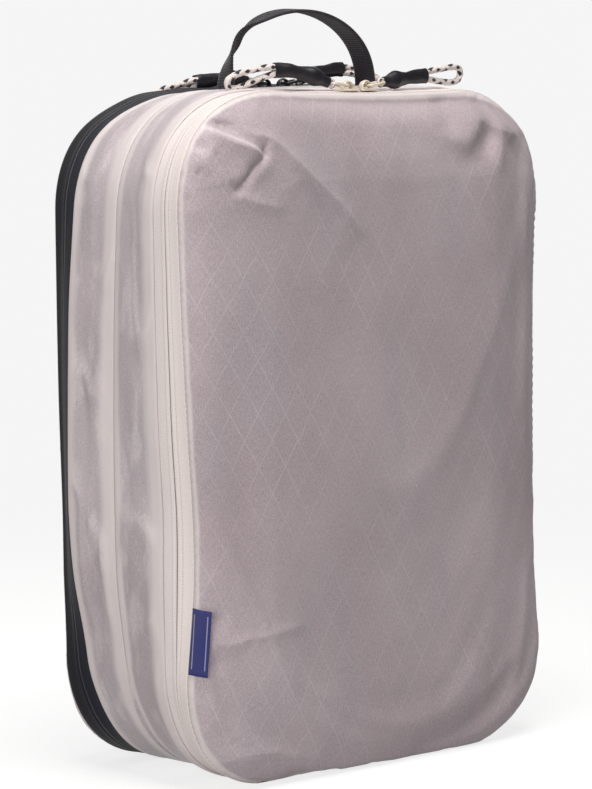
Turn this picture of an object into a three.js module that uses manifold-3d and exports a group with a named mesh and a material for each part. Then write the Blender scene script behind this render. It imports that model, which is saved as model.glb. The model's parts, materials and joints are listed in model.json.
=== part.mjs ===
// A two-compartment soft packing cube: two crowned fabric lids, one on each face, zipped round a gusset
// that a divider panel splits in two. A webbing grab handle stands on the top seam, and each zip has two
// sliders that meet nose to nose at the top, each with a corded pull.
//
// Millimetres, +Z up. The origin is the middle of the footprint, on the ground. The light zip is at the
// front, facing -Y, and the dark zip is at the rear. The rear lid is the front lid turned half round.
import * as THREE from "three";
import { mergeVertices } from "three/addons/utils/BufferGeometryUtils.js";
import Module from "manifold-3d";

const wasm = await Module();
wasm.setup();

// Driving dimensions
const WIDTH = 256;
const HEIGHT = 360;
const SEAM_Y = 50; // from the middle plane to the seam that joins a lid's panel to its zip
const CORNER_R = 62; // of the outline, seen from the front
const CROWN = 18; // how far a stuffed panel stands out past its seam
const CROWN_EDGE = 45; // how far in from the seam the crown levels out
const FABRIC = 1.2; // wall of every fabric panel
const TAPE = 0.8; // thickness of zip tape and of seam binding
const GAP = 0.3; // clearance between neighbouring pieces
const ARC_STEPS = 5; // half the number of facets in each corner of the outline

// Zip, measured inwards from the seam along Y and inwards from the outline
const CHAIN_Y = SEAM_Y - 9; // middle of the zip chain
const CHAIN_GAP = 1.6; // between the two tapes, where the sliders' webs run
const GUSSET_EDGE_Y = SEAM_Y - 18;
const TAPE_UNDER_GUSSET = 8;
const TAPE_DEPTH = FABRIC + GAP; // outline to the tape's outer face
const COIL_DEPTH = TAPE_DEPTH + TAPE + GAP;
const COIL_HEIGHT = 2;
const COIL_WIDTH = 2.4;
const HINGE_HALF = 50; // half the length of the unzipped stretch along the bottom edge
const BINDING_REACH = 5.4; // how far a lid's seam allowance turns inwards
const ALLOWANCE_WIDTH = 8; // seam allowance of the middle seam, lying against the front gusset

// Handle
const WEBBING_WIDTH = 15;
const WEBBING = 1.6;
const HANDLE_HALF = 52;
const HANDLE_RISE = 42;
const GRIP_HALF = 6; // half the level stretch at the top of the arch

// Slider, in its own frame: x runs along the chain away from its nose, and z = 0 is the tape's outer face
const SLIDER_LENGTH = 13;
const SLIDER_NOSE = 4.6; // half width at the nose
const SLIDER_TAIL = 3.7; // half width at the tail
const SLIDER_PLATE = 1.3;
const SLIDER_X = SLIDER_LENGTH / 2 + 0.5; // a closed slider's middle, from where its pair meets
const FRONT_MEET = 0; // where a pair of sliders meets, from the middle of the top, towards +X
const REAR_MEET = 18;
const BRIDGE_HALF = 4.2;
const BRIDGE_RISE = 4.6;
const BRIDGE_BAR = 1.2;
const PIVOT_X = 1.2; // where the pull's link turns under the bridge
const PIVOT_Z = 3.1;

// Pull, in its own frame: the pivot is the origin, and x runs out along the pull
const WIRE = 1.2; // the link's section
const LINK_LENGTH = 10.5; // between the middles of the link's two end bars
const LINK_HALF = 2.9; // half the link's width, to the middle of its side bars
const CORD_R = 1.3;
const STRAND_Z = 1.6; // each strand's distance from the sleeve's axis
const SLEEVE_START = LINK_LENGTH + 1.3;
const SLEEVE_END = 45;
const SLEEVE_WALL = 0.6;
const SLEEVE_FLATNESS = 0.62; // the sleeve's width over its height
const KNOT_X = 21;
const LOOP_END = 72.7;
const PULL_TILT = THREE.MathUtils.degToRad(8); // resting on the zip, a pull leans up by this much
const SWEPT_BACK = THREE.MathUtils.degToRad(15); // the front left cord lies over towards the handle

// Label, on the front lid's left seam
const LABEL_WIDTH = 9;
const LABEL_BOTTOM = 63;
const LABEL_TOP = 97;

const cloth = (color) => new THREE.MeshStandardMaterial({ color, roughness: 0.85, metalness: 0 });
const PANEL_FABRIC = cloth(0xb4a9ad);
const GUSSET_FABRIC = cloth(0xc9c0c1);
const SEAM_TAPE = cloth(0xdcd2ce);
const LIGHT_ZIP = cloth(0xe0d6d2);
const DARK_ZIP = cloth(0x26262b);
const WEBBING_BLACK = cloth(0x1d1b20);
const LABEL_BLUE = cloth(0x232c72);
const CORD = cloth(0xddd5d0);
const SLEEVE_RUBBER = new THREE.MeshStandardMaterial({ color: 0x1c1b20, roughness: 0.45, metalness: 0 });
const LIGHT_METAL = new THREE.MeshStandardMaterial({ color: 0xd9cfc2, roughness: 0.4, metalness: 0.2 });
const DARK_METAL = new THREE.MeshStandardMaterial({ color: 0x232328, roughness: 0.4, metalness: 0.2 });

// Solids

function solid(geometry) {
  const bare = geometry.index ? geometry.toNonIndexed() : geometry.clone();
  bare.deleteAttribute("normal");
  bare.deleteAttribute("uv");
  const merged = mergeVertices(bare, 1e-4);
  return new wasm.Manifold(
    new wasm.Mesh({
      numProp: 3,
      vertProperties: merged.attributes.position.array,
      triVerts: new Uint32Array(merged.index.array),
    }),
  );
}

function geometryOf(body) {
  const mesh = body.getMesh();
  const geometry = new THREE.BufferGeometry();
  geometry.setAttribute("position", new THREE.BufferAttribute(mesh.vertProperties, 3));
  geometry.setIndex(new THREE.BufferAttribute(mesh.triVerts, 1));
  return geometry;
}

function block(low, high) {
  const size = high.map((value, i) => value - low[i]);
  const geometry = new THREE.BoxGeometry(...size);
  geometry.translate(...low.map((value, i) => value + size[i] / 2));
  return solid(geometry);
}

// A shape drawn in x and z, as a solid from yMin to yMax.
function slab(shape, yMin, yMax, curveSegments = ARC_STEPS) {
  const depth = yMax - yMin;
  const geometry = new THREE.ExtrudeGeometry(shape, { depth, bevelEnabled: false, curveSegments });
  geometry.rotateX(Math.PI / 2);
  geometry.translate(0, yMax, 0);
  return geometry;
}

// The bag's outline, a rounded rectangle, drawn in by inset.
function outline(inset) {
  const half = WIDTH / 2 - inset;
  const r = CORNER_R - inset;
  const shape = new THREE.Shape();
  shape.absarc(half - r, inset + r, r, -Math.PI / 2, 0);
  shape.absarc(half - r, HEIGHT - inset - r, r, 0, Math.PI / 2);
  shape.absarc(r - half, HEIGHT - inset - r, r, Math.PI / 2, Math.PI);
  shape.absarc(r - half, inset + r, r, Math.PI, 1.5 * Math.PI);
  shape.closePath();
  return shape;
}

// A band that follows the outline all the way round, between two insets and from yMin to yMax.
function band(outer, inner, yMin, yMax) {
  const shape = outline(outer);
  shape.holes.push(outline(inner));
  return slab(shape, yMin, yMax);
}

// A band with the hinge stretch cut out of its bottom edge.
function openBand(outer, inner, yMin, yMax, hingeHalf) {
  const cut = block([-hingeHalf, yMin - 1, -1], [hingeHalf, yMax + 1, CORNER_R / 2]);
  return geometryOf(solid(band(outer, inner, yMin, yMax)).subtract(cut));
}

// The solid inside a crowned panel whose edge is drawn in by inset and that stands out by rise. It
// keeps a straight rim behind the seam plane.
function crown(inset, rise, rim) {
  const depth = 2 * rim;
  const geometry = new THREE.ExtrudeGeometry(outline(CROWN_EDGE), {
    depth,
    bevelThickness: rise,
    bevelSize: CROWN_EDGE - inset,
    bevelSegments: 5,
    curveSegments: ARC_STEPS,
  });
  geometry.translate(0, 0, -depth);
  geometry.rotateX(Math.PI / 2);
  geometry.translate(0, -SEAM_Y, 0);
  const reach = WIDTH + HEIGHT;
  const kept = block([-reach, -SEAM_Y - rise - 1, -reach], [reach, rim - SEAM_Y, reach]);
  return solid(geometry).intersect(kept);
}

// Pieces of the fabric body

function panel() {
  return geometryOf(crown(0, CROWN, FABRIC).subtract(crown(FABRIC, CROWN - FABRIC, 2 * FABRIC)));
}

// A folded woven label that lies on the panel, sewn into its left seam.
function label() {
  const near = crown(-GAP, CROWN + GAP, FABRIC);
  const far = crown(-GAP - TAPE, CROWN + GAP + TAPE, FABRIC);
  const left = 0.1 - WIDTH / 2;
  const low = [left, -SEAM_Y - 2 * CROWN, LABEL_BOTTOM];
  const high = [left + LABEL_WIDTH, -SEAM_Y - 1, LABEL_TOP];
  return geometryOf(far.subtract(near).intersect(block(low, high)));
}

function hingeBand() {
  const shape = new THREE.Shape();
  shape.moveTo(-HINGE_HALF, 0);
  shape.lineTo(HINGE_HALF, 0);
  shape.lineTo(HINGE_HALF, FABRIC);
  shape.lineTo(-HINGE_HALF, FABRIC);
  shape.closePath();
  return slab(shape, FABRIC + GAP - SEAM_Y, -GUSSET_EDGE_Y - GAP);
}

const lidTape = () =>
  openBand(TAPE_DEPTH, TAPE_DEPTH + TAPE, FABRIC + GAP - SEAM_Y, -CHAIN_Y - CHAIN_GAP / 2, HINGE_HALF - 6);

const bodyTape = () =>
  openBand(
    TAPE_DEPTH,
    TAPE_DEPTH + TAPE,
    CHAIN_GAP / 2 - CHAIN_Y,
    TAPE_UNDER_GUSSET - GUSSET_EDGE_Y,
    HINGE_HALF - 6,
  );

// Half of the zip's chain: one coil, under the edge of its tape. side is -1 on the lid's half.
function coil(side) {
  const near = side * (CHAIN_GAP / 2) - CHAIN_Y;
  const far = near + side * COIL_WIDTH;
  const ends = [Math.min(near, far), Math.max(near, far)];
  return openBand(COIL_DEPTH, COIL_DEPTH + COIL_HEIGHT, ...ends, HINGE_HALF - 4);
}

const lidBinding = () =>
  band(COIL_DEPTH, COIL_DEPTH + BINDING_REACH, FABRIC + GAP - SEAM_Y, FABRIC + GAP + TAPE - SEAM_Y);

// Webbing handle: an arch of strap whose feet are rounded about the line that it flops on.
function handle() {
  const pivotZ = HEIGHT + 0.5 + WEBBING_WIDTH / 2;
  const rise = HEIGHT + HANDLE_RISE - pivotZ;
  const outer = HANDLE_HALF - GRIP_HALF + WEBBING / 2;
  const inner = outer - WEBBING;
  const top = Math.PI / 2;
  const arch = new THREE.Shape();
  arch.absellipse(GRIP_HALF, pivotZ, outer, rise, 0, top, false, 0);
  arch.absellipse(-GRIP_HALF, pivotZ, outer, rise, top, Math.PI, false, 0);
  arch.absellipse(-GRIP_HALF, pivotZ, inner, rise - WEBBING, Math.PI, top, true, 0);
  arch.absellipse(GRIP_HALF, pivotZ, inner, rise - WEBBING, top, 0, true, 0);
  arch.closePath();
  let body = solid(slab(arch, -WEBBING_WIDTH / 2, WEBBING_WIDTH / 2, 6));
  for (const side of [-1, 1]) {
    const foot = new THREE.CylinderGeometry(WEBBING_WIDTH / 2, WEBBING_WIDTH / 2, WEBBING, 24);
    foot.rotateZ(Math.PI / 2);
    foot.translate(side * HANDLE_HALF, 0, pivotZ);
    body = body.add(solid(foot));
  }
  return geometryOf(body);
}

// Slider and pull

// The slider's plan: wide at the nose, where the chain parts, and narrow at the tail.
function sliderPlate(zMin, zMax) {
  const half = SLIDER_LENGTH / 2;
  const plan = new THREE.Shape();
  plan.moveTo(-half, SLIDER_NOSE - 1.8);
  plan.lineTo(-half, 1.8 - SLIDER_NOSE);
  plan.quadraticCurveTo(-half, -SLIDER_NOSE, 2 - half, -SLIDER_NOSE);
  plan.lineTo(half - 2, -SLIDER_TAIL);
  plan.quadraticCurveTo(half, -SLIDER_TAIL, half, 2 - SLIDER_TAIL);
  plan.lineTo(half, SLIDER_TAIL - 2);
  plan.quadraticCurveTo(half, SLIDER_TAIL, half - 2, SLIDER_TAIL);
  plan.lineTo(2 - half, SLIDER_NOSE);
  plan.quadraticCurveTo(-half, SLIDER_NOSE, -half, SLIDER_NOSE - 1.8);
  const geometry = new THREE.ExtrudeGeometry(plan, {
    depth: zMax - zMin,
    bevelEnabled: false,
    curveSegments: 2,
  });
  geometry.translate(0, 0, zMin);
  return solid(geometry);
}

function slider() {
  const topZ = GAP + SLIDER_PLATE;
  const bottomZ = TAPE_DEPTH - COIL_DEPTH - COIL_HEIGHT - GAP;
  const arch = new THREE.Shape();
  arch.absellipse(0, topZ - 0.2, BRIDGE_HALF, BRIDGE_RISE, 0, Math.PI, false, 0);
  arch.absellipse(0, topZ - 0.2, BRIDGE_HALF - BRIDGE_BAR, BRIDGE_RISE - BRIDGE_BAR, Math.PI, 0, true, 0);
  arch.closePath();
  const web = block([-5.5, 0.3 - CHAIN_GAP / 2, bottomZ - 0.5], [-1.5, CHAIN_GAP / 2 - 0.3, GAP + 0.5]);
  return geometryOf(
    sliderPlate(GAP, topZ)
      .add(sliderPlate(bottomZ - SLIDER_PLATE, bottomZ))
      .add(web)
      .add(solid(slab(arch, -BRIDGE_BAR, BRIDGE_BAR, 8))),
  );
}

function rectangle(xMin, xMax, yHalf) {
  const path = new THREE.Shape();
  path.moveTo(xMin, -yHalf);
  path.lineTo(xMax, -yHalf);
  path.lineTo(xMax, yHalf);
  path.lineTo(xMin, yHalf);
  path.closePath();
  return path;
}

// The metal link that turns under the slider's bridge.
function link() {
  const shape = rectangle(-WIRE / 2, LINK_LENGTH + WIRE / 2, LINK_HALF + WIRE / 2);
  shape.holes.push(rectangle(WIRE / 2, LINK_LENGTH - WIRE / 2, LINK_HALF - WIRE / 2));
  const geometry = new THREE.ExtrudeGeometry(shape, { depth: WIRE, bevelEnabled: false });
  geometry.translate(0, 0, -WIRE / 2);
  return geometry;
}

// One cord: round the link's far bar, through the sleeve as two strands with a knot, and out as a loop.
function cord() {
  const turn = WIRE * 0.71 + GAP + CORD_R;
  const half = [
    [LINK_LENGTH, -turn],
    [LINK_LENGTH + 3.5, -STRAND_Z - 0.15],
    [SLEEVE_START + 6, -STRAND_Z],
    [(SLEEVE_START + SLEEVE_END) / 2, -STRAND_Z],
    [SLEEVE_END, -STRAND_Z],
    [SLEEVE_END + 8, -3.6],
    [SLEEVE_END + 17, -6.4],
    [LOOP_END - 3.4, -6],
  ];
  const back = half.map(([x, z]) => [x, -z]).reverse();
  back[0][1] -= 3.6; // the loop sags, so its upper strand comes down to the end
  back[1][1] -= 2.6;
  back[2][1] -= 1;
  const ring = [[LINK_LENGTH - turn, 0], ...half, [LOOP_END, -1.9], ...back];
  const path = new THREE.CatmullRomCurve3(
    ring.map(([x, z]) => new THREE.Vector3(x, 0, z)),
    true,
  );
  const knot = new THREE.SphereGeometry(1, 8, 5);
  knot.scale(4, 2, 3.4);
  knot.translate(KNOT_X, 0, 0);
  return geometryOf(solid(new THREE.TubeGeometry(path, 40, CORD_R, 6, true)).add(solid(knot)));
}

// Shrunk rubber sleeve over the strands, swollen by the knot inside.
function sleeve() {
  const bore = [
    [SLEEVE_START, 3.9],
    [SLEEVE_START + 3, 3.5],
    [KNOT_X - 3, 3.8],
    [KNOT_X, 3.95],
    [KNOT_X + 3, 3.8],
    [KNOT_X + 8, 3.2],
    [SLEEVE_END, 3.2],
  ];
  const inner = bore.map(([x, r]) => new THREE.Vector2(r, x)).reverse();
  const outer = bore.map(([x, r]) => new THREE.Vector2(r + SLEEVE_WALL, x));
  const geometry = new THREE.LatheGeometry([...outer, ...inner, outer[0]], 10);
  geometry.rotateZ(-Math.PI / 2);
  geometry.scale(1, SLEEVE_FLATNESS, 1);
  return geometry;
}

// Assembly

function piece(parent, name, geometry, material) {
  const mesh = new THREE.Mesh(geometry, material);
  mesh.name = name;
  parent.add(mesh);
}

// A slider with its pull, on the top edge. direction is 1 if it opens towards the face's own +X, and its
// pair meets at meet on that axis. The cord and its sleeve are turned by sweep about the link's far bar.
function addSlider(parent, metal, direction, names, meet, sweep) {
  const group = new THREE.Group();
  group.position.set(meet + direction * SLIDER_X, -CHAIN_Y, HEIGHT - TAPE_DEPTH);
  group.rotation.z = direction > 0 ? 0 : Math.PI;
  parent.add(group);
  piece(group, names + "_slider", slider(), metal);
  const pull = new THREE.Group();
  pull.position.set(PIVOT_X, 0, PIVOT_Z);
  pull.rotation.y = -PULL_TILT;
  group.add(pull);
  piece(pull, names + "_pull_link", link(), metal);
  const cordGroup = new THREE.Group();
  cordGroup.position.x = LINK_LENGTH;
  cordGroup.rotation.z = sweep;
  pull.add(cordGroup);
  const atLink = new THREE.Group();
  atLink.position.x = -LINK_LENGTH;
  cordGroup.add(atLink);
  piece(atLink, names + "_pull_cord", cord(), CORD);
  piece(atLink, names + "_pull_sleeve", sleeve(), SLEEVE_RUBBER);
}

// One face of the cube: its lid, its half of the zip on the gusset, its gusset and its sliders.
function addFace(parent, end, zip, metal) {
  piece(parent, end + "_panel", panel(), PANEL_FABRIC);
  piece(parent, end + "_zip_lid_tape", lidTape(), zip);
  piece(parent, end + "_zip_lid_coil", coil(-1), zip);
  piece(parent, end + "_seam_binding", lidBinding(), SEAM_TAPE);
  piece(parent, end + "_gusset", band(0, FABRIC, -GUSSET_EDGE_Y, -0.8), GUSSET_FABRIC);
  piece(parent, end + "_hinge_band", hingeBand(), GUSSET_FABRIC);
  piece(parent, end + "_zip_body_tape", bodyTape(), zip);
  piece(parent, end + "_zip_body_coil", coil(1), zip);
}

const root = new THREE.Group();

const front = new THREE.Group();
root.add(front);
addFace(front, "front", LIGHT_ZIP, LIGHT_METAL);
piece(front, "side_label", label(), LABEL_BLUE);
addSlider(front, LIGHT_METAL, -1, "front_left", FRONT_MEET, -SWEPT_BACK);
addSlider(front, LIGHT_METAL, 1, "front_right", FRONT_MEET, 0);

const rear = new THREE.Group();
rear.rotation.z = Math.PI;
root.add(rear);
addFace(rear, "rear", DARK_ZIP, DARK_METAL);
addSlider(rear, DARK_METAL, 1, "rear_left", -REAR_MEET, 0);
addSlider(rear, DARK_METAL, -1, "rear_right", -REAR_MEET, 0);

piece(root, "divider_panel", slab(outline(0.6), -0.45, 0.45), GUSSET_FABRIC);
piece(
  root,
  "middle_seam_allowance",
  band(FABRIC + GAP, FABRIC + GAP + TAPE, -0.8 - ALLOWANCE_WIDTH, -0.8),
  SEAM_TAPE,
);
piece(root, "grab_handle", handle(), WEBBING_BLACK);

export default root;
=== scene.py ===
"""A soft two-sided packing cube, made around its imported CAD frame. Metres, +Z up, the light zip faces -Y.

Places on the bag are mostly given as (s, y, inset): s runs round the outline from the middle of the
bottom edge, first towards +X; y is the depth; inset is how far inside the outline the point lies.
"""

import json
import math

import bpy
import numpy as np
from mathutils import Matrix, Vector, geometry, kdtree, noise


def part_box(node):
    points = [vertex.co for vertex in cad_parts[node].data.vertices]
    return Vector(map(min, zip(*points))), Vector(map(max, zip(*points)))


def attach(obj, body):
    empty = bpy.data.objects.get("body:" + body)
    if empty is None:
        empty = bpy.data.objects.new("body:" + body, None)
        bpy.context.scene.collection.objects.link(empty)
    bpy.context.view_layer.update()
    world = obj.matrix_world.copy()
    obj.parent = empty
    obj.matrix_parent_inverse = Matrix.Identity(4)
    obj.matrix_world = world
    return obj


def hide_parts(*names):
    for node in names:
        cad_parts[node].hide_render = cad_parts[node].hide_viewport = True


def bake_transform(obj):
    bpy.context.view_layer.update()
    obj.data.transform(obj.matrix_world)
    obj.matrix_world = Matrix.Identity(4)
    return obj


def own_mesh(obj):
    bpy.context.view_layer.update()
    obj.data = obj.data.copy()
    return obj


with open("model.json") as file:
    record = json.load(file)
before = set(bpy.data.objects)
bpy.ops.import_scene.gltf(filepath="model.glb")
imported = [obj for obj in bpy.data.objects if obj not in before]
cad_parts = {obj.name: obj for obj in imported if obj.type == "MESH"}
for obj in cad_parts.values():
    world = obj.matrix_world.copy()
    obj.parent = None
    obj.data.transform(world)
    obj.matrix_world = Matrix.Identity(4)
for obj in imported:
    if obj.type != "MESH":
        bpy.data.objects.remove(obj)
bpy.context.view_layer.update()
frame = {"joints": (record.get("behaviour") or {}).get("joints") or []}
joints = {joint["name"]: joint for joint in frame["joints"]}

MM = 0.001

# The bag's driving sizes, read from the frame
HALF_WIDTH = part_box("front_gusset")[1].x
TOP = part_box("front_gusset")[1].z
SEAM_Y = joints["rear_lid_hinge"]["pos_m"][1]
CHAIN_Y = sum(point.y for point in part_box("rear_left_slider")) / 2
GUSSET_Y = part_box("rear_gusset")[1].y
HINGE_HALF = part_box("front_hinge_band")[1].x
TAPE_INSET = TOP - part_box("front_zip_lid_tape")[1].z

CORNER = 62 * MM  # radius of the outline's corners
FABRIC = 0.5 * MM  # how thick the cloth is made
TAPE_GAP = 0.2 * MM  # half the slit between the two tapes of a zip
SIDE = {"front": -1, "rear": 1}  # which way each end of the bag lies along Y


# ---- outline

FLAT = HALF_WIDTH - CORNER
RISER = TOP - 2 * CORNER
QUARTER = CORNER * math.pi / 2
LAPS = [0, FLAT, QUARTER, RISER, QUARTER, 2 * FLAT, QUARTER, RISER, QUARTER, FLAT]
KNOTS = np.cumsum(LAPS)
PERIMETER = KNOTS[-1]
KNOT_ANGLES = np.radians([-90, -90, 0, 0, 90, 90, 180, 180, 270, 270])
KNOT_X = np.array([0, 1, 1, 1, 1, -1, -1, -1, -1, 0]) * FLAT
KNOT_Z = np.where(np.array([0, 0, 0, 1, 1, 1, 1, 0, 0, 0]) > 0, TOP - CORNER, CORNER)


def rim(s):
    """The outline's corner centre and outward normal at s, as two arrays of (x, z)."""
    s = np.mod(np.asarray(s, float), PERIMETER)
    angle = np.interp(s, KNOTS, KNOT_ANGLES)
    centre = np.stack([np.interp(s, KNOTS, KNOT_X), np.interp(s, KNOTS, KNOT_Z)], -1)
    return centre, np.stack([np.cos(angle), np.sin(angle)], -1)


def smooth(x, low, high):
    """An even climb from 0 at low to 1 at high, with soft ends."""
    t = np.clip((np.asarray(x, float) - low) / (high - low), 0, 1)
    return t * t * (3 - 2 * t)


def corner(k, share):
    """The place a share of the way round the corner that starts at knot k."""
    return KNOTS[k] + share * QUARTER


def right(height):
    """The place on the right side at that height in millimetres."""
    return KNOTS[2] + height * MM - CORNER


def left(height):
    """The place on the left side at that height in millimetres."""
    return KNOTS[6] + TOP - CORNER - height * MM


# How far the stuffed and leaning bag stands outside its pattern, in millimetres, at places round the
# outline. The five values are for the front seam, front flank, middle seam, rear flank and rear seam.
DEPTHS = np.array([-SEAM_Y, -36 * MM, 0, GUSSET_Y, SEAM_Y])
STANCE = {
    0.0: (0, 0, 0, 0, 0),
    corner(1, 0.35): (1.5, 0.5, 0, 0, 0),
    corner(1, 0.65): (7, 4, 0, 1, 1),
    right(62): (3.5, 3, 0, 2, 1),
    right(130): (2, 4, 3, 6, 2),
    right(240): (2, 5, 5, 7, 2.5),
    corner(3, 0.25): (3.5, 3, 2, 4, 2),
    corner(3, 0.6): (1, 1, 0, 1, 1),
    KNOTS[4]: (-1.6, -0.8, 0, 0, 0.5),
    KNOTS[4] + FLAT: (-2.2, -0.8, 0, -1, 1.5),
    KNOTS[5]: (-0.8, -0.8, -1, -3.2, -2),
    corner(5, 0.17): (0.4, 0.2, -1, -6, -4),
    corner(5, 0.38): (5.4, 4, 1.5, -3.4, -3.8),
    corner(5, 0.6): (11, 9, 4, 3, 3),
    corner(5, 0.89): (8.7, 9.5, 4.3, 4.8, 4.2),
    left(250): (6.1, 8.2, 7.1, 9.8, 3.4),
    left(185): (2, 6, 7.8, 10.8, 2.3),
    left(140): (-2.4, 2.3, 7.3, 11, 0.2),
    left(100): (-2.6, 3, 6.1, 7.4, 0),
    left(76): (0.6, 2, 1.7, 0, -2),
    corner(7, 0.3): (5, 1.5, -4.6, -6, -1.3),
    corner(7, 0.47): (6.9, 4, -3, -4, 0),
    corner(7, 0.7): (4.5, 3, -1.5, -1.5, 0),
    KNOTS[8]: (0.3, 0, 0, 0, 0),
}


def round_outline(stations, blur=13 * MM):
    """Values given at places round the outline, made smooth and repeating, one row for each value."""
    fine = np.arange(0, PERIMETER, 2 * MM)
    values = np.array([np.atleast_1d(v) for v in stations.values()], float).T
    rows = [np.interp(fine, list(stations), row, period=PERIMETER) for row in values]
    reach = np.minimum(fine, PERIMETER - fine)
    kernel = np.exp(-0.5 * (reach / blur) ** 2)
    spread = np.fft.fft(kernel / kernel.sum())
    return fine, np.array([np.fft.ifft(np.fft.fft(row) * spread).real for row in rows])


SWELL_AT, SWELL = round_outline(STANCE)


def swell(s, y):
    """How far the bag stands outside its pattern at s and y, in metres."""
    s, y = np.broadcast_arrays(np.asarray(s, float), np.asarray(y, float))
    rows = np.array([np.interp(s, SWELL_AT, row, period=PERIMETER) for row in SWELL]) * MM
    k = np.clip(np.searchsorted(DEPTHS, y) - 1, 0, len(DEPTHS) - 2)
    share = smooth((y - DEPTHS[k]) / (DEPTHS[k + 1] - DEPTHS[k]), 0, 1)
    near = np.take_along_axis(rows, k[None], 0)[0]
    far = np.take_along_axis(rows, k[None] + 1, 0)[0]
    return near * (1 - share) + far * share


def place(s, y, inset):
    """A point in the frame from its place on the bag."""
    s, y, inset = np.broadcast_arrays(np.asarray(s, float), y, inset)
    centre, normal = rim(s)
    reach = CORNER - inset + swell(s, y)
    flat = centre + normal * reach[..., None]
    return np.stack([flat[..., 0], y, flat[..., 1]], -1)


# ---- mesh helpers

def mesh_object(name, points, faces, uv=None, edge=None, materials=(), slots=None, crest_highlight=None):
    """A smooth-shaded mesh. uv holds a (u, v) for each point or for each face's corner.

    edge and crest hold one value for each point: its distance from the cloth's edge, and how strong a
    painted highlight lies on it along a fold's top. Materials read both.
    """
    mesh = bpy.data.meshes.new(name)
    points = np.asarray(points, np.float32)
    if isinstance(faces, np.ndarray):
        sizes = np.full(len(faces), faces.shape[1], np.int32)
        loops = faces.astype(np.int32).ravel()
    else:
        sizes = np.array([len(face) for face in faces], np.int32)
        loops = np.array([point for face in faces for point in face], np.int32)
    mesh.vertices.add(len(points))
    mesh.vertices.foreach_set("co", points.ravel())
    mesh.loops.add(len(loops))
    mesh.loops.foreach_set("vertex_index", loops)
    mesh.polygons.add(len(sizes))
    mesh.polygons.foreach_set("loop_start", np.concatenate([[0], np.cumsum(sizes)[:-1]]).astype(np.int32))
    mesh.update(calc_edges=True)
    if uv is not None:
        layer = mesh.uv_layers.new(name="cloth")
        uv = np.asarray(uv, np.float32)
        layer.data.foreach_set("uv", (uv[loops] if len(uv) != len(loops) else uv).ravel())
    for label, values in (("edge", edge), ("crest_highlight", crest_highlight)):
        if values is not None:
            layer = mesh.attributes.new(label, "FLOAT", "POINT")
            layer.data.foreach_set("value", np.asarray(values, np.float32))
    mesh.shade_smooth()
    for material in materials:
        mesh.materials.append(material)
    if slots is not None:
        mesh.polygons.foreach_set("material_index", np.asarray(slots, np.int32))
    mesh.validate()
    piece = bpy.data.objects.new(name, mesh)
    bpy.context.scene.collection.objects.link(piece)
    return piece


def grid_faces(rows, columns, close_rows=False, close_columns=False):
    """Quads over a rows by columns grid of points, facing out where rows run anticlockwise."""
    i, j = np.meshgrid(
        np.arange(rows if close_rows else rows - 1),
        np.arange(columns if close_columns else columns - 1),
        indexing="ij",
    )
    i, j = i.ravel(), j.ravel()
    next_i, next_j = (i + 1) % rows, (j + 1) % columns
    corners = (i * columns + j, next_i * columns + j, next_i * columns + next_j, i * columns + next_j)
    return np.stack(corners, -1)


def set_all(owner, values):
    for key, value in values.items():
        setattr(owner, key, value)


def modifier(piece, kind, **settings):
    added = piece.modifiers.new(kind.title(), kind)
    set_all(added, settings)
    return added


def thicken(piece, thickness, offset=-1):
    return modifier(piece, "SOLIDIFY", thickness=thickness, offset=offset, use_even_offset=False)


def finish_piece(piece, body, nodes=(), slot=None):
    """Fixes a piece to a body, and hides the CAD nodes that it stands for."""
    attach(piece, body)
    if nodes:
        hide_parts(*nodes)
    return piece


def strip(name, material, ys, insets, span, step, ripple=None, lean=(1.0, 1.0)):
    """Fabric that follows the outline over span, with one column of points for each y and inset.

    The distance from each edge, which places the bands, is stretched by lean.
    """
    start, end = span
    closed = abs(end - start - PERIMETER) < 1e-6
    count = int(round((end - start) / step))
    s = np.linspace(start, end, count + 1)
    if closed:
        s = s[:-1]
    ys, insets = np.asarray(ys, float), np.asarray(insets, float)
    grid_s, grid_y = np.meshgrid(s, ys, indexing="ij")
    inset = np.broadcast_to(insets, grid_s.shape)
    if ripple is not None:
        inset = inset - ripple(grid_s, grid_y)
    points = place(grid_s, grid_y, inset).reshape(-1, 3)
    faces = grid_faces(len(s), len(ys), close_rows=closed)
    if ys[-1] < ys[0]:
        faces = faces[:, ::-1]
    uv = np.stack([grid_y, grid_s], -1).reshape(-1, 2)
    if closed:  # the seam's last quads run on past the perimeter, so their own corners carry it on
        loop_uv = uv[faces.ravel()].reshape(-1, 4, 2)
        wraps = (loop_uv[:, :, 1].max(1) - loop_uv[:, :, 1].min(1)) > PERIMETER / 2
        low = loop_uv[:, :, 1] < start + PERIMETER / 2
        loop_uv[:, :, 1] += np.where(wraps[:, None] & low, PERIMETER, 0)
        uv = loop_uv.reshape(-1, 2)
    edge = np.minimum(np.abs(grid_y - ys[0]) * lean[0], np.abs(grid_y - ys[-1]) * lean[1]).ravel()
    piece = mesh_object(name, points, faces, uv, edge, [material])
    thicken(piece, FABRIC)
    return piece


def unit(vectors):
    return vectors / np.linalg.norm(vectors, axis=-1)[..., None]


def path_frames(path, up, closed=False):
    """Two cross directions at each point of a path; the first leans towards up."""
    path = np.asarray(path, float)
    ahead = np.roll(path, -1, 0) - np.roll(path, 1, 0)
    if not closed:
        ahead[0], ahead[-1] = path[1] - path[0], path[-1] - path[-2]
    tangent = unit(ahead)
    up = np.broadcast_to(np.asarray(up, float), path.shape)
    first = unit(up - tangent * (up * tangent).sum(1)[:, None])
    return first, np.cross(tangent, first)


def arc_lengths(path, closed=False):
    """How far along the path each point lies, with the way back to the start last where it is closed."""
    path = np.asarray(path, float)
    if closed:
        path = np.vstack([path, path[:1]])
    return np.concatenate([[0], np.cumsum(np.linalg.norm(np.diff(path, axis=0), axis=1))])


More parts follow.
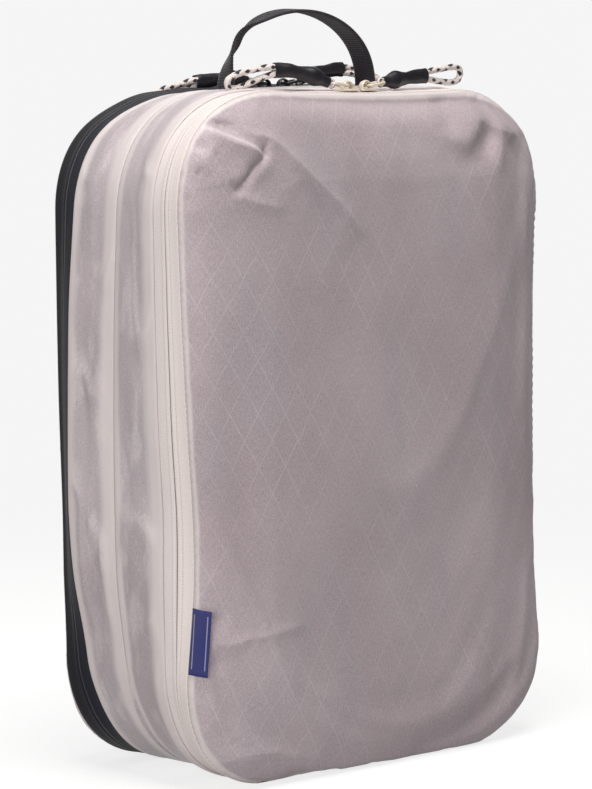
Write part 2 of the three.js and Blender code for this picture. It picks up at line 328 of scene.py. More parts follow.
def resample(path, step, closed=False):
    """The same path through evenly spaced points, on a Catmull-Rom curve."""
    path = np.asarray(path, float)
    if closed:
        padded = np.vstack([path[-1:], path, path[:2]])
    else:
        padded = np.vstack([2 * path[0] - path[1], path, 2 * path[-1] - path[-2]])
    t = np.linspace(0, 1, 16, endpoint=False)[:, None]
    fine = []
    for a, b, c, d in zip(padded, padded[1:], padded[2:], padded[3:]):
        curve = 2 * b + (c - a) * t + (2 * a - 5 * b + 4 * c - d) * t**2 + (3 * b - a - 3 * c + d) * t**3
        fine.append(curve / 2)
    fine = np.vstack(fine + ([] if closed else [path[-1:]]))
    lengths = arc_lengths(fine, closed)
    count = max(3, int(round(lengths[-1] / step)))
    at = np.linspace(0, lengths[-1], count + 1)
    if closed:
        fine, at = np.vstack([fine, fine[:1]]), at[:-1]
    return np.stack([np.interp(at, lengths, fine[:, k]) for k in range(3)], -1)


def end_caps(rings, sides):
    """The faces over the first and the last of some rings."""
    last = (rings - 1) * sides
    return [tuple(range(sides)), tuple(range(last + sides - 1, last - 1, -1))]


def sweep(name, path, section, up, materials, closed=False, caps=True, slots=None):
    """A solid swept along path. section(i) gives (across, along up) offsets at ring i."""
    first, second = path_frames(path, up, closed)
    rings = len(path)
    sides = len(section(0))
    offsets = np.array([section(i) for i in range(rings)])
    points = (
        np.asarray(path)[:, None]
        + offsets[..., :1] * second[:, None]
        + offsets[..., 1:] * first[:, None]
    )
    lengths = arc_lengths(path, closed)[:rings]
    around = np.arange(sides) / sides
    uv = np.stack(np.broadcast_arrays(around[None, :], lengths[:, None]), -1).reshape(-1, 2)
    faces = [tuple(f) for f in grid_faces(rings, sides, closed, True)]
    if caps and not closed:
        faces += end_caps(rings, sides)
    return mesh_object(name, points.reshape(-1, 3), faces, uv, None, materials, slots)


def circle(sides):
    """Cosines and sines of even turns round a circle."""
    turn = np.arange(sides) / sides * 2 * math.pi
    return np.cos(turn), np.sin(turn)


def circle_section(radius, sides):
    ring = np.stack(circle(sides), -1) * radius
    return lambda i: ring


# ---- materials

def srgb(red, green, blue):
    """A linear colour from its usual 0 to 255 values."""
    values = [c / 255 for c in (red, green, blue)]
    linear = [c / 12.92 if c <= 0.04045 else ((c + 0.055) / 1.055) ** 2.4 for c in values]
    return (*linear, 1.0)


class Graph:
    """A node material, built with short calls. A node stands for its first output."""

    def __init__(self, name, **surface):
        self.material = bpy.data.materials.new(name)
        self.material.use_nodes = True
        self.tree = self.material.node_tree
        self.tree.nodes.clear()
        self.surface = self.add("BsdfPrincipled", {})
        output = self.add("OutputMaterial", {})
        self.tree.links.new(self.surface.outputs[0], output.inputs[0])
        self.shade(**surface)

    def add(self, kind, inputs, **settings):
        node = self.tree.nodes.new("ShaderNode" + kind)
        set_all(node, settings)
        for key, value in inputs.items():
            self.connect(node.inputs[key], value)
        return node

    def connect(self, socket, value):
        if isinstance(value, bpy.types.Node):
            value = value.outputs[0]
        if isinstance(value, bpy.types.NodeSocket):
            self.tree.links.new(value, socket)
        else:
            socket.default_value = value

    def shade(self, **inputs):
        for key, value in inputs.items():
            self.connect(self.surface.inputs[key.replace("_", " ")], value)

    def math(self, operation, a, b=0.0, c=0.0):
        return self.add("Math", {0: a, 1: b, 2: c}, operation=operation)

    def times(self, a, b):
        return self.math("MULTIPLY", a, b)

    def plus(self, a, b):
        return self.math("ADD", a, b)

    def apart(self, a, b):
        """The distance between two values."""
        return self.math("ABSOLUTE", self.math("SUBTRACT", a, b))

    def wave(self, value, length):
        """A sine wave of that length along a coordinate."""
        return self.math("SINE", self.times(value, 2 * math.pi / length))

    def tint(self, value, colour):
        """The colour, made brighter or darker by value."""
        return self.add("HueSaturation", {"Value": value, "Color": colour})

    def mix(self, share, a, b):
        node = self.add("Mix", {0: share, 6: a, 7: b}, data_type="RGBA")
        return node.outputs[2]

    def ramp(self, value, low, high, start=0.0, end=1.0):
        kind = {"interpolation_type": "SMOOTHSTEP"}
        return self.add("MapRange", {0: value, 1: low, 2: high, 3: start, 4: end}, **kind)

    def spread(self, noise, start, end):
        """Noise, which mostly lies between 0.3 and 0.7, spread out from start to end."""
        return self.ramp(noise, 0.3, 0.7, start, end)

    def noise(self, vector, scale, detail=2.0, roughness=0.5, stretch=None):
        if stretch is not None:
            vector = self.add("Mapping", {"Vector": vector, "Scale": stretch})
        inputs = {"Vector": vector, "Scale": scale, "Detail": detail, "Roughness": roughness}
        return self.add("TexNoise", inputs)

    def cloth(self):
        """The piece's own coordinates: the vector, its u and its v.

        In cloth both are in metres. Round a cord, thread or webbing u is the share of the way round.
        """
        vector = self.add("UVMap", {}, uv_map="cloth")
        split = self.add("SeparateXYZ", {0: vector})
        return vector, split.outputs[0], split.outputs[1]

    def attribute(self, name):
        return self.add("Attribute", {}, attribute_name=name).outputs["Fac"]

    def position(self):
        return self.add("TexCoord", {}).outputs["Object"]

    def bump(self, height, distance, strength):
        self.shade(Normal=self.add("Bump", {"Height": height, "Distance": distance, "Strength": strength}))


THREAD_ACROSS, THREAD_UP = 17 * MM, 28 * MM  # the width and height of a diamond between ripstop threads


def fabric(name, tone, light, band_and_highlight, band_width, fold_highlights=0.0, soft=2.2 * MM, grainy=0.2, lines=0.27):
    """Ripstop laminate: pale diamond threads, fine speckle, a lighter doubled edge, and painted light and
    shade.

    Cool patches are painted shade, for the inside showing faintly through the cloth; a gusset's pale
    streaks are painted highlights along its folds where light shows through, and crisp fold tops carry a
    painted highlight.
    """
    g = Graph(name, Roughness=0.62, Sheen_Weight=0.22, Sheen_Roughness=0.45, Specular_IOR_Level=0.28)
    vector, u, v = g.cloth()
    a, b = g.times(u, 1 / THREAD_ACROSS), g.times(v, 1 / THREAD_UP)
    leaning = []
    for operation in ("ADD", "SUBTRACT"):
        away = g.apart(g.math("FRACT", g.math(operation, a, b)), 0.5)
        leaning.append(g.ramp(away, 0.006, 0.028, 1.0, 0.0))
    patches = g.ramp(g.noise(vector, 14), 0.38, 0.62, 0.3, 1.0)
    threads = g.times(g.math("MAXIMUM", *leaning), patches)

    colour = g.mix(g.spread(g.noise(vector, 9, 3.0), 0.0, 1.0), tone, light)
    # painted shade: cool soft patches for the inside's shade showing faintly through the cloth
    shade_through = g.noise(vector, 16, stretch=(1.6, 0.5, 1.0))
    shade_through_tone = g.mix(0.5, tone, srgb(163, 166, 172))
    colour = g.mix(g.ramp(shade_through, 0.5, 0.75, 0.0, 0.55), colour, shade_through_tone)
    # painted highlight: pale streaks along a gusset's folds, in the doubled edge's tone
    if fold_highlights:
        folds = g.noise(vector, 60, 3.0, 0.6, stretch=(1.3, 0.4, 1.0))
        colour = g.mix(g.ramp(folds, 0.48, 0.66, 0.0, fold_highlights), colour, band_and_highlight)
    speckle = g.noise(vector, 1150, 2.0, 0.7)
    weave = g.noise(vector, 600, 1.0, stretch=(3.0, 0.6, 1.0))
    grain = g.plus(g.spread(speckle, -0.5, 0.5), g.spread(weave, -0.3, 0.3))
    colour = g.tint(g.plus(1.0, g.times(grain, grainy)), colour)
    colour = g.mix(g.times(threads, lines), colour, srgb(228, 220, 223))

    edge = g.plus(g.attribute("edge"), g.times(g.noise(vector, 60, 1.0), 1.2 * MM))
    doubled = g.ramp(edge, band_width, band_width + soft, 1.0, 0.0)
    colour = g.mix(g.times(doubled, 0.85), colour, band_and_highlight)
    # painted highlight along the crisp tops of folds, as strong as each point's value
    g.shade(Base_Color=g.mix(g.attribute("crest_highlight"), colour, srgb(236, 226, 228)))
    g.bump(g.plus(g.times(threads, 0.5), g.times(speckle, 0.5)), 0.12 * MM, 0.5)
    return g.material


def tape_material(name, lid_tone, body_tone, thread_dark):
    """Woven zip tape: fine ribs, a tone for each side of the zip, and a sewn row beside the coil."""
    g = Graph(name, Roughness=0.8, Sheen_Weight=0.15, Specular_IOR_Level=0.2)
    vector, u, v = g.cloth()
    twill = g.times(g.wave(u, 0.62 * MM), g.wave(v, 0.9 * MM))
    fuzz = g.noise(vector, 1500, 2.0, 0.6)
    side = g.ramp(g.math("ABSOLUTE", u), CHAIN_Y - 0.3 * MM, CHAIN_Y + 0.3 * MM)
    shade = g.plus(g.times(twill, 0.035), g.spread(fuzz, -0.07, 0.07))
    colour = g.tint(g.plus(1.0, shade), g.mix(side, body_tone, lid_tone))
    row = g.apart(g.apart(g.math("ABSOLUTE", u), CHAIN_Y), 2.6 * MM)
    dash = g.math("FRACT", g.times(v, 1 / (1.5 * MM)))
    sewn = g.times(g.ramp(row, 0.14 * MM, 0.34 * MM, 1.0, 0.0), g.ramp(dash, 0.3, 0.5, 0.4, 1.0))
    g.shade(Base_Color=g.mix(g.times(sewn, 0.28), colour, thread_dark))
    relief = g.plus(g.times(twill, 0.35), g.times(fuzz, 0.4))
    g.bump(g.math("SUBTRACT", relief, g.times(sewn, 0.8)), 0.15 * MM, 0.6)
    return g.material


PLY_TURN = 9000  # how fast a sewing thread's plies turn, in radians for each metre


def thread_material(name, tone):
    g = Graph(name, Roughness=0.55, Sheen_Weight=0.2)
    vector, u, v = g.cloth()
    ply = g.math("SINE", g.times(g.plus(v, g.times(u, 0.5 * MM)), PLY_TURN))
    value = g.plus(g.times(ply, 0.08), g.spread(g.noise(vector, 900, 1.0), 0.9, 1.1))
    g.shade(Base_Color=g.tint(value, tone))
    g.bump(ply, 0.05 * MM, 0.5)
    return g.material


def coil_material(name, tone):
    g = Graph(name, Roughness=0.35)
    shade = g.noise(g.cloth()[0], 400)
    g.shade(Base_Color=g.tint(g.spread(shade, 0.88, 1.1), tone))
    return g.material


def webbing_material():
    """Black webbing, ribbed across by its picks, with yarns along it."""
    g = Graph("black_webbing", Roughness=0.75, Sheen_Weight=0.2, Specular_IOR_Level=0.25)
    vector, u, v = g.cloth()
    picks = g.wave(v, 1.5 * MM)
    yarns = g.wave(u, 1 / 26)
    fuzz = g.noise(vector, 700, 3.0, 0.7)
    g.shade(Base_Color=g.tint(g.plus(g.times(picks, 0.25), g.spread(fuzz, 0.7, 1.4)), srgb(34, 31, 37)))
    relief = g.plus(g.times(picks, 0.4), g.times(yarns, 0.25))
    g.bump(g.plus(relief, g.times(fuzz, 0.5)), 0.15 * MM, 0.6)
    return g.material


def cord_material(name, tone, spread):
    """Braid yarns, each running along the cord and lighter or darker than the next by up to spread."""
    g = Graph(name, Roughness=0.7, Sheen_Weight=0.25)
    yarn = g.noise(g.cloth()[0], 1800, 2.0, 0.7, stretch=(0.02, 1.0, 1.0))
    g.shade(Base_Color=g.tint(g.ramp(yarn, 0.25, 0.75, 1 - spread, 1 + spread), tone))
    g.bump(yarn, 0.08 * MM, 0.5)
    return g.material


def sleeve_material():
    """Shrunk black rubber, a little dusty and unevenly rubbed."""
    g = Graph("shrunk_rubber", Roughness=0.38, Specular_IOR_Level=0.45)
    position = g.position()
    dust = g.noise(position, 260, 4.0, 0.65)
    colour = g.mix(g.ramp(dust, 0.5, 0.8, 0.0, 0.5), srgb(30, 28, 33), srgb(62, 55, 62))
    g.shade(Base_Color=colour, Roughness=g.spread(g.noise(position, 60), 0.3, 0.5))
    g.bump(dust, 0.12 * MM, 0.35)
    return g.material


def enamel(name, tone, chip):
    """Painted zinc: soft orange peel, dulled and a little rubbed through."""
    g = Graph(name, Roughness=0.36, Metallic=0.0, Coat_Weight=0.25, Coat_Roughness=0.25)
    position = g.position()
    wear = g.noise(position, 420, 4.0, 0.7)
    colour = g.mix(g.times(g.ramp(wear, 0.62, 0.72), 0.55), tone, chip)
    g.shade(Base_Color=g.tint(g.spread(g.noise(position, 150), 0.92, 1.06), colour))
    g.shade(Roughness=g.spread(wear, 0.28, 0.46))
    g.bump(g.noise(position, 900), 0.08 * MM, 0.25)
    return g.material


def label_material():
    """Navy woven satin with a plain pale pinstripe inside each long edge."""
    g = Graph("navy_satin", Roughness=0.5, Sheen_Weight=0.2)
    vector, u, v = g.cloth()
    warp, weft = g.wave(u, 0.35 * MM), g.wave(v, 0.5 * MM)
    tint = g.plus(g.times(warp, 0.07), g.times(weft, 0.05))
    fuzz = g.spread(g.noise(vector, 900), 0.88, 1.12)
    navy = g.tint(g.plus(fuzz, tint), srgb(30, 35, 106))
    stripes = [g.ramp(g.apart(u, at), 0.15 * MM, 0.35 * MM, 0.6, 0.0) for at in (1.7 * MM, 8.8 * MM)]
    inside = g.times(g.ramp(v, 3 * MM, 3.4 * MM), g.ramp(v, 31 * MM, 31.4 * MM, 1.0, 0.0))
    stripe = g.times(g.times(g.math("MAXIMUM", *stripes), inside), g.ramp(weft, -0.6, 0.2, 0.55, 1.0))
    g.shade(Base_Color=g.mix(stripe, navy, srgb(205, 205, 222)))
    g.bump(g.plus(warp, g.times(stripe, 2.0)), 0.06 * MM, 0.5)
    return g.material


PALE = 0.915  # the floor's and the backdrop's brightness


def floor_material():
    """Evenly lit paper: bright by itself, with a faint shadow where the bag stands."""
    g = Graph("pale_floor", Roughness=1.0, Specular_IOR_Level=0.0, Emission_Color=(1, 1, 1, 1))
    split = g.add("SeparateXYZ", {0: g.position()})
    flat = g.add("CombineXYZ", {0: split.outputs[0], 1: split.outputs[1]})
    away = g.add("VectorMath", {0: flat}, operation="LENGTH").outputs["Value"]
    near = g.ramp(away, 0.3, 1.0, 1.0, 0.0)
    glow = g.ramp(away, 0.3, 1.0, 0.74, PALE)
    seen = g.add("LightPath", {}).outputs["Is Camera Ray"]
    g.shade(Base_Color=g.mix(near, (0, 0, 0, 1), (0.3, 0.3, 0.3, 1)))
    g.shade(Emission_Strength=g.times(glow, g.math("MULTIPLY_ADD", seen, 0.68, 0.32)))
    return g.material


PANEL_FABRIC = fabric(
    "panel_ripstop", srgb(177, 162, 167), srgb(190, 176, 181), srgb(222, 212, 211), 3.2 * MM, grainy=0.26,
)
GUSSET_FABRIC = fabric(
    "gusset_ripstop", srgb(172, 159, 163), srgb(188, 176, 180), srgb(218, 208, 207), 4.8 * MM,
    fold_highlights=0.45, soft=4.6 * MM, lines=0.1,
)
LINING = fabric("lining_ripstop", srgb(170, 160, 163), srgb(186, 177, 180), srgb(205, 196, 196), 4 * MM)
LIGHT_TAPE = tape_material("light_zip_tape", srgb(231, 220, 217), srgb(228, 218, 216), srgb(140, 112, 96))
DARK_TAPE = tape_material("dark_zip_tape", srgb(27, 25, 31), srgb(24, 26, 36), srgb(9, 9, 12))
TAN_THREAD = thread_material("tan_thread", srgb(196, 172, 146))
DARK_THREAD = thread_material("dark_thread", srgb(24, 23, 26))
# painted shade: the light zip's coil is coloured a darker brown than its tapes, for the shade in the slit
# between them
LIGHT_COIL = coil_material("light_coil", srgb(168, 142, 124))
DARK_COIL = coil_material("dark_coil", srgb(14, 13, 15))
SEAM_CLOTH = tape_material("seam_cloth", srgb(222, 212, 208), srgb(218, 208, 205), srgb(180, 165, 155))
WEBBING = webbing_material()
CORD_LIGHT = cord_material("cord_light", srgb(218, 208, 204), 0.12)
CORD_DARK = cord_material("cord_dark", srgb(30, 24, 26), 0.3)
RUBBER = sleeve_material()
CREAM_ENAMEL = enamel("cream_enamel", srgb(216, 203, 184), srgb(160, 142, 122))
BLACK_ENAMEL = enamel("black_enamel", srgb(36, 34, 38), srgb(90, 86, 88))
NAVY_SATIN = label_material()


# ---- crowned panels

# A panel's section from its seam inwards, where it is packed full and where it is slack
FULL_EDGE = np.array([
    [0.4, 0.0], [-0.6, 1.8], [-0.8, 4.2], [0.2, 6.8], [2.5, 9.0], [6.0, 10.8], [12.0, 12.6],
    [22.0, 14.6], [34.0, 16.4], [45.0, 17.6],
]) * MM
SLACK_EDGE = np.array([
    [0.4, 0.0], [1.4, 1.7], [3.2, 3.8], [5.6, 6.4], [8.2, 8.8], [11.2, 10.8], [15.5, 12.6],
    [24.0, 14.6], [34.0, 16.4], [45.0, 17.6],
]) * MM
DOME = 2.0 * MM  # further rise from there to the panel's middle
SECTION = np.linspace(0, 1, 200)
DOME_HALF = np.array([100, 150]) * MM  # how far the dome reaches from the panel's middle

FRONT_FULLNESS = {
    0.0: 1.0,
    corner(1, 0.2): 0.75,
    corner(1, 0.7): 1.0,
    right(72): 0.3,
    right(180): 0.2,
    right(260): -0.15,
    corner(3, 0.15): 0.5,
    corner(3, 0.35): 0.6,
    corner(3, 0.55): 0.1,
    KNOTS[4]: -0.3,
    KNOTS[4] + FLAT: -0.25,
    KNOTS[5]: 0.2,
    corner(5, 0.6): 0.6,
    left(240): 0.45,
    left(120): 0.6,
    corner(7, 0.2): 0.1,
    corner(7, 0.6): -0.3,
    KNOTS[8]: 0.1,
}
REAR_FULLNESS = {
    0.0: 1.0,
    corner(1, 0.5): 0.9,
    right(180): 0.6,
    corner(3, 0.5): 0.4,
    KNOTS[4] + FLAT: 0.3,
    corner(5, 0.5): -0.1,
    left(180): -0.1,
    corner(7, 0.4): 0.0,
    KNOTS[8]: 0.8,
}


def even_section(curve):
    """Arc length, inset and rise at even shares of a section."""
    fine = resample(np.insert(curve, 1, 0, axis=1), 0.25 * MM)
    lengths = arc_lengths(fine)
    at = SECTION * lengths[-1]
    return lengths[-1], np.interp(at, lengths, fine[:, 0]), np.interp(at, lengths, fine[:, 2])


FULL_LENGTH, FULL_INSET, FULL_RISE = even_section(FULL_EDGE)
_, SLACK_INSET, SLACK_RISE = even_section(SLACK_EDGE)
SPREAD = FULL_LENGTH - FULL_EDGE[-1, 0]  # how much bigger the flat pattern is than the outline


def rounded_distance(points):
    """Distance inside the flat panel pattern's edge, and the direction outwards, at each (x, z)."""
    half = np.array([HALF_WIDTH + SPREAD, TOP / 2 + SPREAD])
    radius = CORNER + SPREAD
    centred = np.asarray(points) - [0, TOP / 2]
    q = np.abs(centred) - (half - radius)
    outside = np.maximum(q, 0)
    length = np.linalg.norm(outside, axis=1)
    inside = radius - length - np.minimum(q.max(1), 0)
    along = np.where(q[:, :1] > q[:, 1:], [[1.0, 0.0]], [[0.0, 1.0]])
    direction = np.where(length[:, None] > 1e-9, outside / np.maximum(length, 1e-9)[:, None], along)
    return inside, direction * np.sign(centred + 1e-12)


def nearest_rim(points):
    """The place s round the outline that lies nearest to each (x, z)."""
    across, up = np.abs(points[:, 0]), points[:, 1] - TOP / 2
    q = np.stack([across - FLAT, np.abs(up) - RISER / 2], -1)
    turn = np.arctan2(np.maximum(q[:, 1], 0), np.maximum(q[:, 0], 1e-12)) / (math.pi / 2)
    level = q[:, 1] > q[:, 0]
    in_corner = (q > 0).all(1)
    turn = np.where(in_corner, turn, level.astype(float))
    run = np.where(level & ~in_corner, FLAT - np.minimum(across, FLAT), 0)
    climb = np.where(level, np.where(up > 0, RISER, 0), np.clip(points[:, 1] - CORNER, 0, RISER))
    s = KNOTS[2] + climb + np.where(up > 0, 1, -1) * (turn * QUARTER + run)
    return np.where(points[:, 0] < 0, PERIMETER - s, s)


class Fold:
    """A ridge, or a hollow where height is below 0, along a path of (x, z), in millimetres.

    It falls away over left and right, the widths on either side of someone walking the path. A low sharp
    gives it a crisp top, and pale is how strong a painted highlight runs along that top.
    """

    def __init__(self, height, left, right, *path, sharp=1.2, pale=0.0):
        self.height = height * MM
        self.left, self.right = left * MM, right * MM
        self.path = np.array(path, float) * MM
        self.sharp = sharp
        self.pale = pale

    def walk(self, points):
        """Distance from the path, whether a point lies on its left, and how far it is from its ends."""
        best = np.full(len(points), 1e9)
        walked = np.zeros(len(points))
        side = np.zeros(len(points))
        steps = np.diff(self.path, axis=0)
        starts = np.concatenate([[0], np.cumsum(np.linalg.norm(steps, axis=1))])
        for a, step, start in zip(self.path, steps, starts):
            t = np.clip(((points - a) @ step) / (step @ step), 0, 1)
            off = points - a - t[:, None] * step
            away = np.linalg.norm(off, axis=1)
            nearer = away < best
            best = np.where(nearer, away, best)
            walked = np.where(nearer, start + t * np.linalg.norm(step), walked)
            side = np.where(nearer, step[0] * off[:, 1] - step[1] * off[:, 0], side)
        taper = np.sin(np.pi * np.clip(walked / starts[-1] * 0.9 + 0.05, 0, 1)) ** 0.7
        return best, side > 0, taper

    def rise(self, points):
        away, on_left, taper = self.walk(points)
        width = np.where(on_left, self.left, self.right)
        return self.height * taper * np.exp(-((away / width) ** self.sharp))

    def crest_highlight(self, points):
        """How strong the painted highlight along the hard crease of the path is."""
        away, _, taper = self.walk(points)
        return self.pale * taper * np.exp(-((away / (1.0 * MM)) ** 2))


FRONT_FOLDS = [
    # the pinched fold in the top left corner
    Fold(3.6, 2.2, 8, (-124, 343), (-118, 339), (-107, 335), (-98, 332), (-88, 326), sharp=1.1, pale=0.45),
    Fold(-2.6, 3.5, 3.5, (-122, 346), (-114, 344), (-104, 342), sharp=2),
    Fold(-1.6, 3, 4, (-130, 332), (-124, 336), sharp=2),
    Fold(3.0, 5, 10, (-90, 328), (-100, 320), (-112, 316), sharp=1.3),
    Fold(-4.4, 2.6, 3.6, (-88, 334), (-91, 327), (-98, 322), (-104, 314), (-108, 311), sharp=1.3),
    Fold(0.5, 4, 4, (-84, 335), (-88, 326), (-95, 319), (-100, 311), sharp=2),
    Fold(-1.5, 4, 4, (-114, 315), (-105, 311), sharp=2),
    Fold(2.0, 5, 5, (-121, 322), (-115, 315), (-109, 309), (-98, 305), (-80, 301)),
    Fold(
        5.0, 7, 13, (-104, 343), (-95, 339), (-86, 338), (-78, 333), (-63, 320), (-39, 302), (-20, 285),
        sharp=1.1, pale=0.12,
    ),
    Fold(-1.6, 6, 6, (-67, 319), (-55, 308), (-38, 290), sharp=2),
    # soft lobes and creases in the top right corner
    Fold(-2.0, 7, 7, (48, 354), (53, 345), (50, 334), sharp=2),
    Fold(2.4, 8, 6, (42, 338), (62, 331), (70, 338), (74, 346), sharp=1.8),
    Fold(-2.6, 5, 7, (84, 343), (81, 334), (76, 324), sharp=2),
    Fold(1.8, 4, 4, (72, 346), (82, 341), (92, 338), (107, 335), sharp=1.3),
    Fold(1.5, 2.5, 4, (89, 347), (95, 342), (106, 336), sharp=1.2),
    Fold(2.0, 5, 5, (92, 337), (89, 328), (84, 314), sharp=1.6),
    Fold(-2.2, 6, 6, (98, 334), (106, 324), (109, 312), sharp=2),
    Fold(1.8, 4, 4, (107, 313), (110, 303), (112, 290), (111, 268), sharp=1.5),
    Fold(-1.8, 9, 9, (52, 324), (68, 326), (77, 333), sharp=2),
    # the creased bottom left corner, and pulls beside the label
    Fold(3.0, 7, 2.4, (-124, 14), (-112, 17), (-100, 19), (-84, 19), sharp=1.1, pale=0.15),
    Fold(-1.8, 4, 4, (-118, 9), (-90, 10), (-60, 9), sharp=2),
    Fold(-1.5, 4, 4, (-115, 97), (-118, 84), sharp=2),
    Fold(1.2, 4, 4, (-117, 76), (-102, 80), (-84, 82), (-62, 84), sharp=1.4),
    Fold(-1.6, 4, 4, (-117, 73), (-118, 63), sharp=2),
    # the right edge, slightly wavy
    Fold(1.2, 6, 6, (114, 240), (112, 200), (116, 160), sharp=2),
    Fold(-1.2, 7, 7, (106, 260), (104, 220), sharp=2),
    Fold(1.4, 5, 5, (116, 100), (114, 70), (106, 40), sharp=1.6),
    Fold(-1.3, 8, 8, (96, 28), (60, 14), (20, 10), sharp=2),
]
REAR_FOLDS = [
    Fold(2.6, 3, 7, (-116, 334), (-98, 322), (-82, 302), sharp=1.2),
    Fold(-2.4, 5, 5, (-108, 318), (-96, 306), (-90, 292), sharp=1.6),
    Fold(2.4, 3, 7, (88, 342), (68, 324), (50, 298), sharp=1.2),
    Fold(-2.0, 6, 6, (102, 322), (90, 306), (80, 286), sharp=1.8),
    Fold(1.4, 8, 8, (40, 344), (20, 330), (8, 310), sharp=2),
    Fold(2.2, 3, 7, (116, 38), (94, 48), (68, 46), sharp=1.2),
    Fold(1.8, 6, 3, (-112, 34), (-90, 44), (-64, 40), sharp=1.3),
    Fold(-1.4, 8, 8, (-50, 12), (0, 9), (50, 13), sharp=2),
    Fold(1.2, 9, 9, (-30, 230), (10, 190), (24, 130), sharp=2),
]


def cloth_noise(points, size, seed, stretch=1.0):
    """Smooth noise about 0 at points of (x, z), with features of roughly that size."""
    return np.array([noise.noise(Vector((x / size, z / (size * stretch), seed))) for x, z in points])


CLEAR_OF_EDGE = 0.62  # scattered points keep this share of their gap to the pattern's edge
CRISP = 1.5  # folds with a lower sharp value than this get finer points
FOLD_SHARE = 0.12  # where they reach this share of their height


def scattered(gap):
    """Points of (x, z) in even rows inside the flat pattern's edge."""
    half_x, half_z = HALF_WIDTH + SPREAD, TOP / 2 + SPREAD
    row = gap * math.sqrt(3) / 2
    points = []
    for k in range(int(2 * half_z / row) + 1):
        xs = np.arange(-half_x + gap / 2 * (k % 2), half_x, gap)
        points.append(np.stack([xs, np.full(len(xs), TOP / 2 - half_z + k * row)], -1))
    points = np.vstack(points)
    return points[rounded_distance(points)[0] > gap * CLEAR_OF_EDGE]


def near_folds(flat, folds):
    """Whether each pattern point lies where one of the folds rises or falls by more than a little."""
    formed = pattern_place(flat)
    return np.max([np.abs(fold.rise(formed)) / abs(fold.height) for fold in folds], 0) > FOLD_SHARE


def panel_pattern(spacing, finer=0.0, folds=()):
    """The flat pattern: evenly scattered points inside its edge, joined in triangles.

    Where finer is given, points lie that close together along the sharper folds.
    """
    count = int(round((PERIMETER + 2 * math.pi * SPREAD) / spacing))
    centre, normal = rim(np.arange(count) / count * PERIMETER)
    edge = centre + normal * (CORNER + SPREAD)
    inner = scattered(spacing)
    crisp = [fold for fold in folds if fold.sharp < CRISP]
    if crisp:
        close = scattered(finer)
        inner = np.vstack([inner[~near_folds(inner, crisp)], close[near_folds(close, crisp)]])
    ring = [(i, (i + 1) % count) for i in range(count)]
    made = geometry.delaunay_2d_cdt([Vector(p) for p in np.vstack([edge, inner])], ring, [], 1, 1e-7)
    return np.array([tuple(p) for p in made[0]]), np.array([tuple(f) for f in made[2]]), count


def pattern_place(flat):
    """Roughly where each flat pattern point comes to lie, as (x, z)."""
    inside, direction = rounded_distance(flat)
    t = np.clip(inside / FULL_LENGTH, 0, 1)
    inset = np.interp(t, SECTION, FULL_INSET) + np.maximum(inside - FULL_LENGTH, 0)
    return flat + direction * (inside - SPREAD - inset)[:, None]


def crown_surface(flat, fullness, facing):
    """The stuffed panel without its folds: (x, z), rise, and how far and which way the edge is."""
    inside, direction = rounded_distance(flat)
    inside = np.maximum(inside, 0)
    s = nearest_rim(flat)
    if facing > 0:
        s = PERIMETER - s
    at, rows = round_outline(fullness, 20 * MM)
    full = np.interp(s, at, rows[0], period=PERIMETER)
    t = np.clip(inside / FULL_LENGTH, 0, 1)
    inset, rise = (
        np.interp(t, SECTION, packed) * full + np.interp(t, SECTION, slack) * (1 - full)
        for packed, slack in ((FULL_INSET, SLACK_INSET), (FULL_RISE, SLACK_RISE))
    )
    inset = inset + np.maximum(inside - FULL_LENGTH, 0)
    pushed = swell(s, facing * SEAM_Y) * (1 - smooth(inside, 6 * MM, 60 * MM))
    xz = flat + direction * (inside - SPREAD - inset + pushed)[:, None]
    middle = np.clip(1 - ((xz - [0, TOP / 2]) / DOME_HALF) ** 2, 0, 1).prod(1)
    return xz, rise + DOME * middle, inside, direction


def crown_points(flat, fullness, folds, seed, facing):
    """The stuffed panel's points, and their distances inside the pattern's edge."""
    xz, height, inside, direction = crown_surface(flat, fullness, facing)
    free = smooth(inside, 2 * MM, 22 * MM)
    for fold in folds:
        height = height + fold.rise(xz) * smooth(inside, 1 * MM, 7 * MM)
    height = height + free * MM * (
        1.3 * cloth_noise(xz, 62 * MM, seed, 1.4)
        + 0.5 * cloth_noise(xz, 24 * MM, seed + 7, 1.8)
        + 0.12 * cloth_noise(xz, 9 * MM, seed + 13)
    )
    puckers = cloth_noise(flat, 15 * MM, seed + 3) * smooth(inside, 0.5 * MM, 4 * MM) * (1 - free)
    xz = xz + direction * (puckers * 0.8 * MM)[:, None]
    points = np.stack([xz[:, 0], -SEAM_Y - height, xz[:, 1]], -1)
    if facing > 0:
        points[:, :2] *= -1
    return points, inside


# The cloth simulation's settings
SWELLING = {
    "quality": 6,
    "mass": 0.12,
    "air_damping": 4,
    "tension_stiffness": 22,
    "compression_stiffness": 22,
    "shear_stiffness": 8,
    "bending_stiffness": 1.2,
    "shrink_min": -0.014,
    "shrink_max": -0.014,
    "vertex_group_mass": "seam",
    "pin_stiffness": 1.0,
    "use_pressure": True,
    "uniform_pressure_force": 1.4,
}
SWELL_FRAMES = 18
SWELL_CAP = 3 * MM  # the furthest that any point may move


def inflate(piece, pinned):
    """Cloth simulation with the seam held: how far each point of the stuffed panel swells or sags."""
    scene = bpy.context.scene
    start = np.array([v.co for v in piece.data.vertices])
    piece.vertex_groups.new(name="seam").add(list(pinned), 1.0, "ADD")
    added = modifier(piece, "CLOTH")
    set_all(added.settings, SWELLING)
    added.collision_settings.use_collision = False
    for owner in (scene, added.point_cache):
        owner.frame_start, owner.frame_end = 1, SWELL_FRAMES
    for step in range(1, SWELL_FRAMES + 1):
        scene.frame_set(step)
    evaluated = piece.evaluated_get(bpy.context.evaluated_depsgraph_get())
    shift = np.array([v.co for v in evaluated.data.vertices]) - start
    piece.modifiers.remove(added)
    scene.frame_set(1)
    length = np.linalg.norm(shift, axis=1)
    return shift * (SWELL_CAP * np.tanh(length / SWELL_CAP) / np.maximum(length, 1e-9))[:, None]


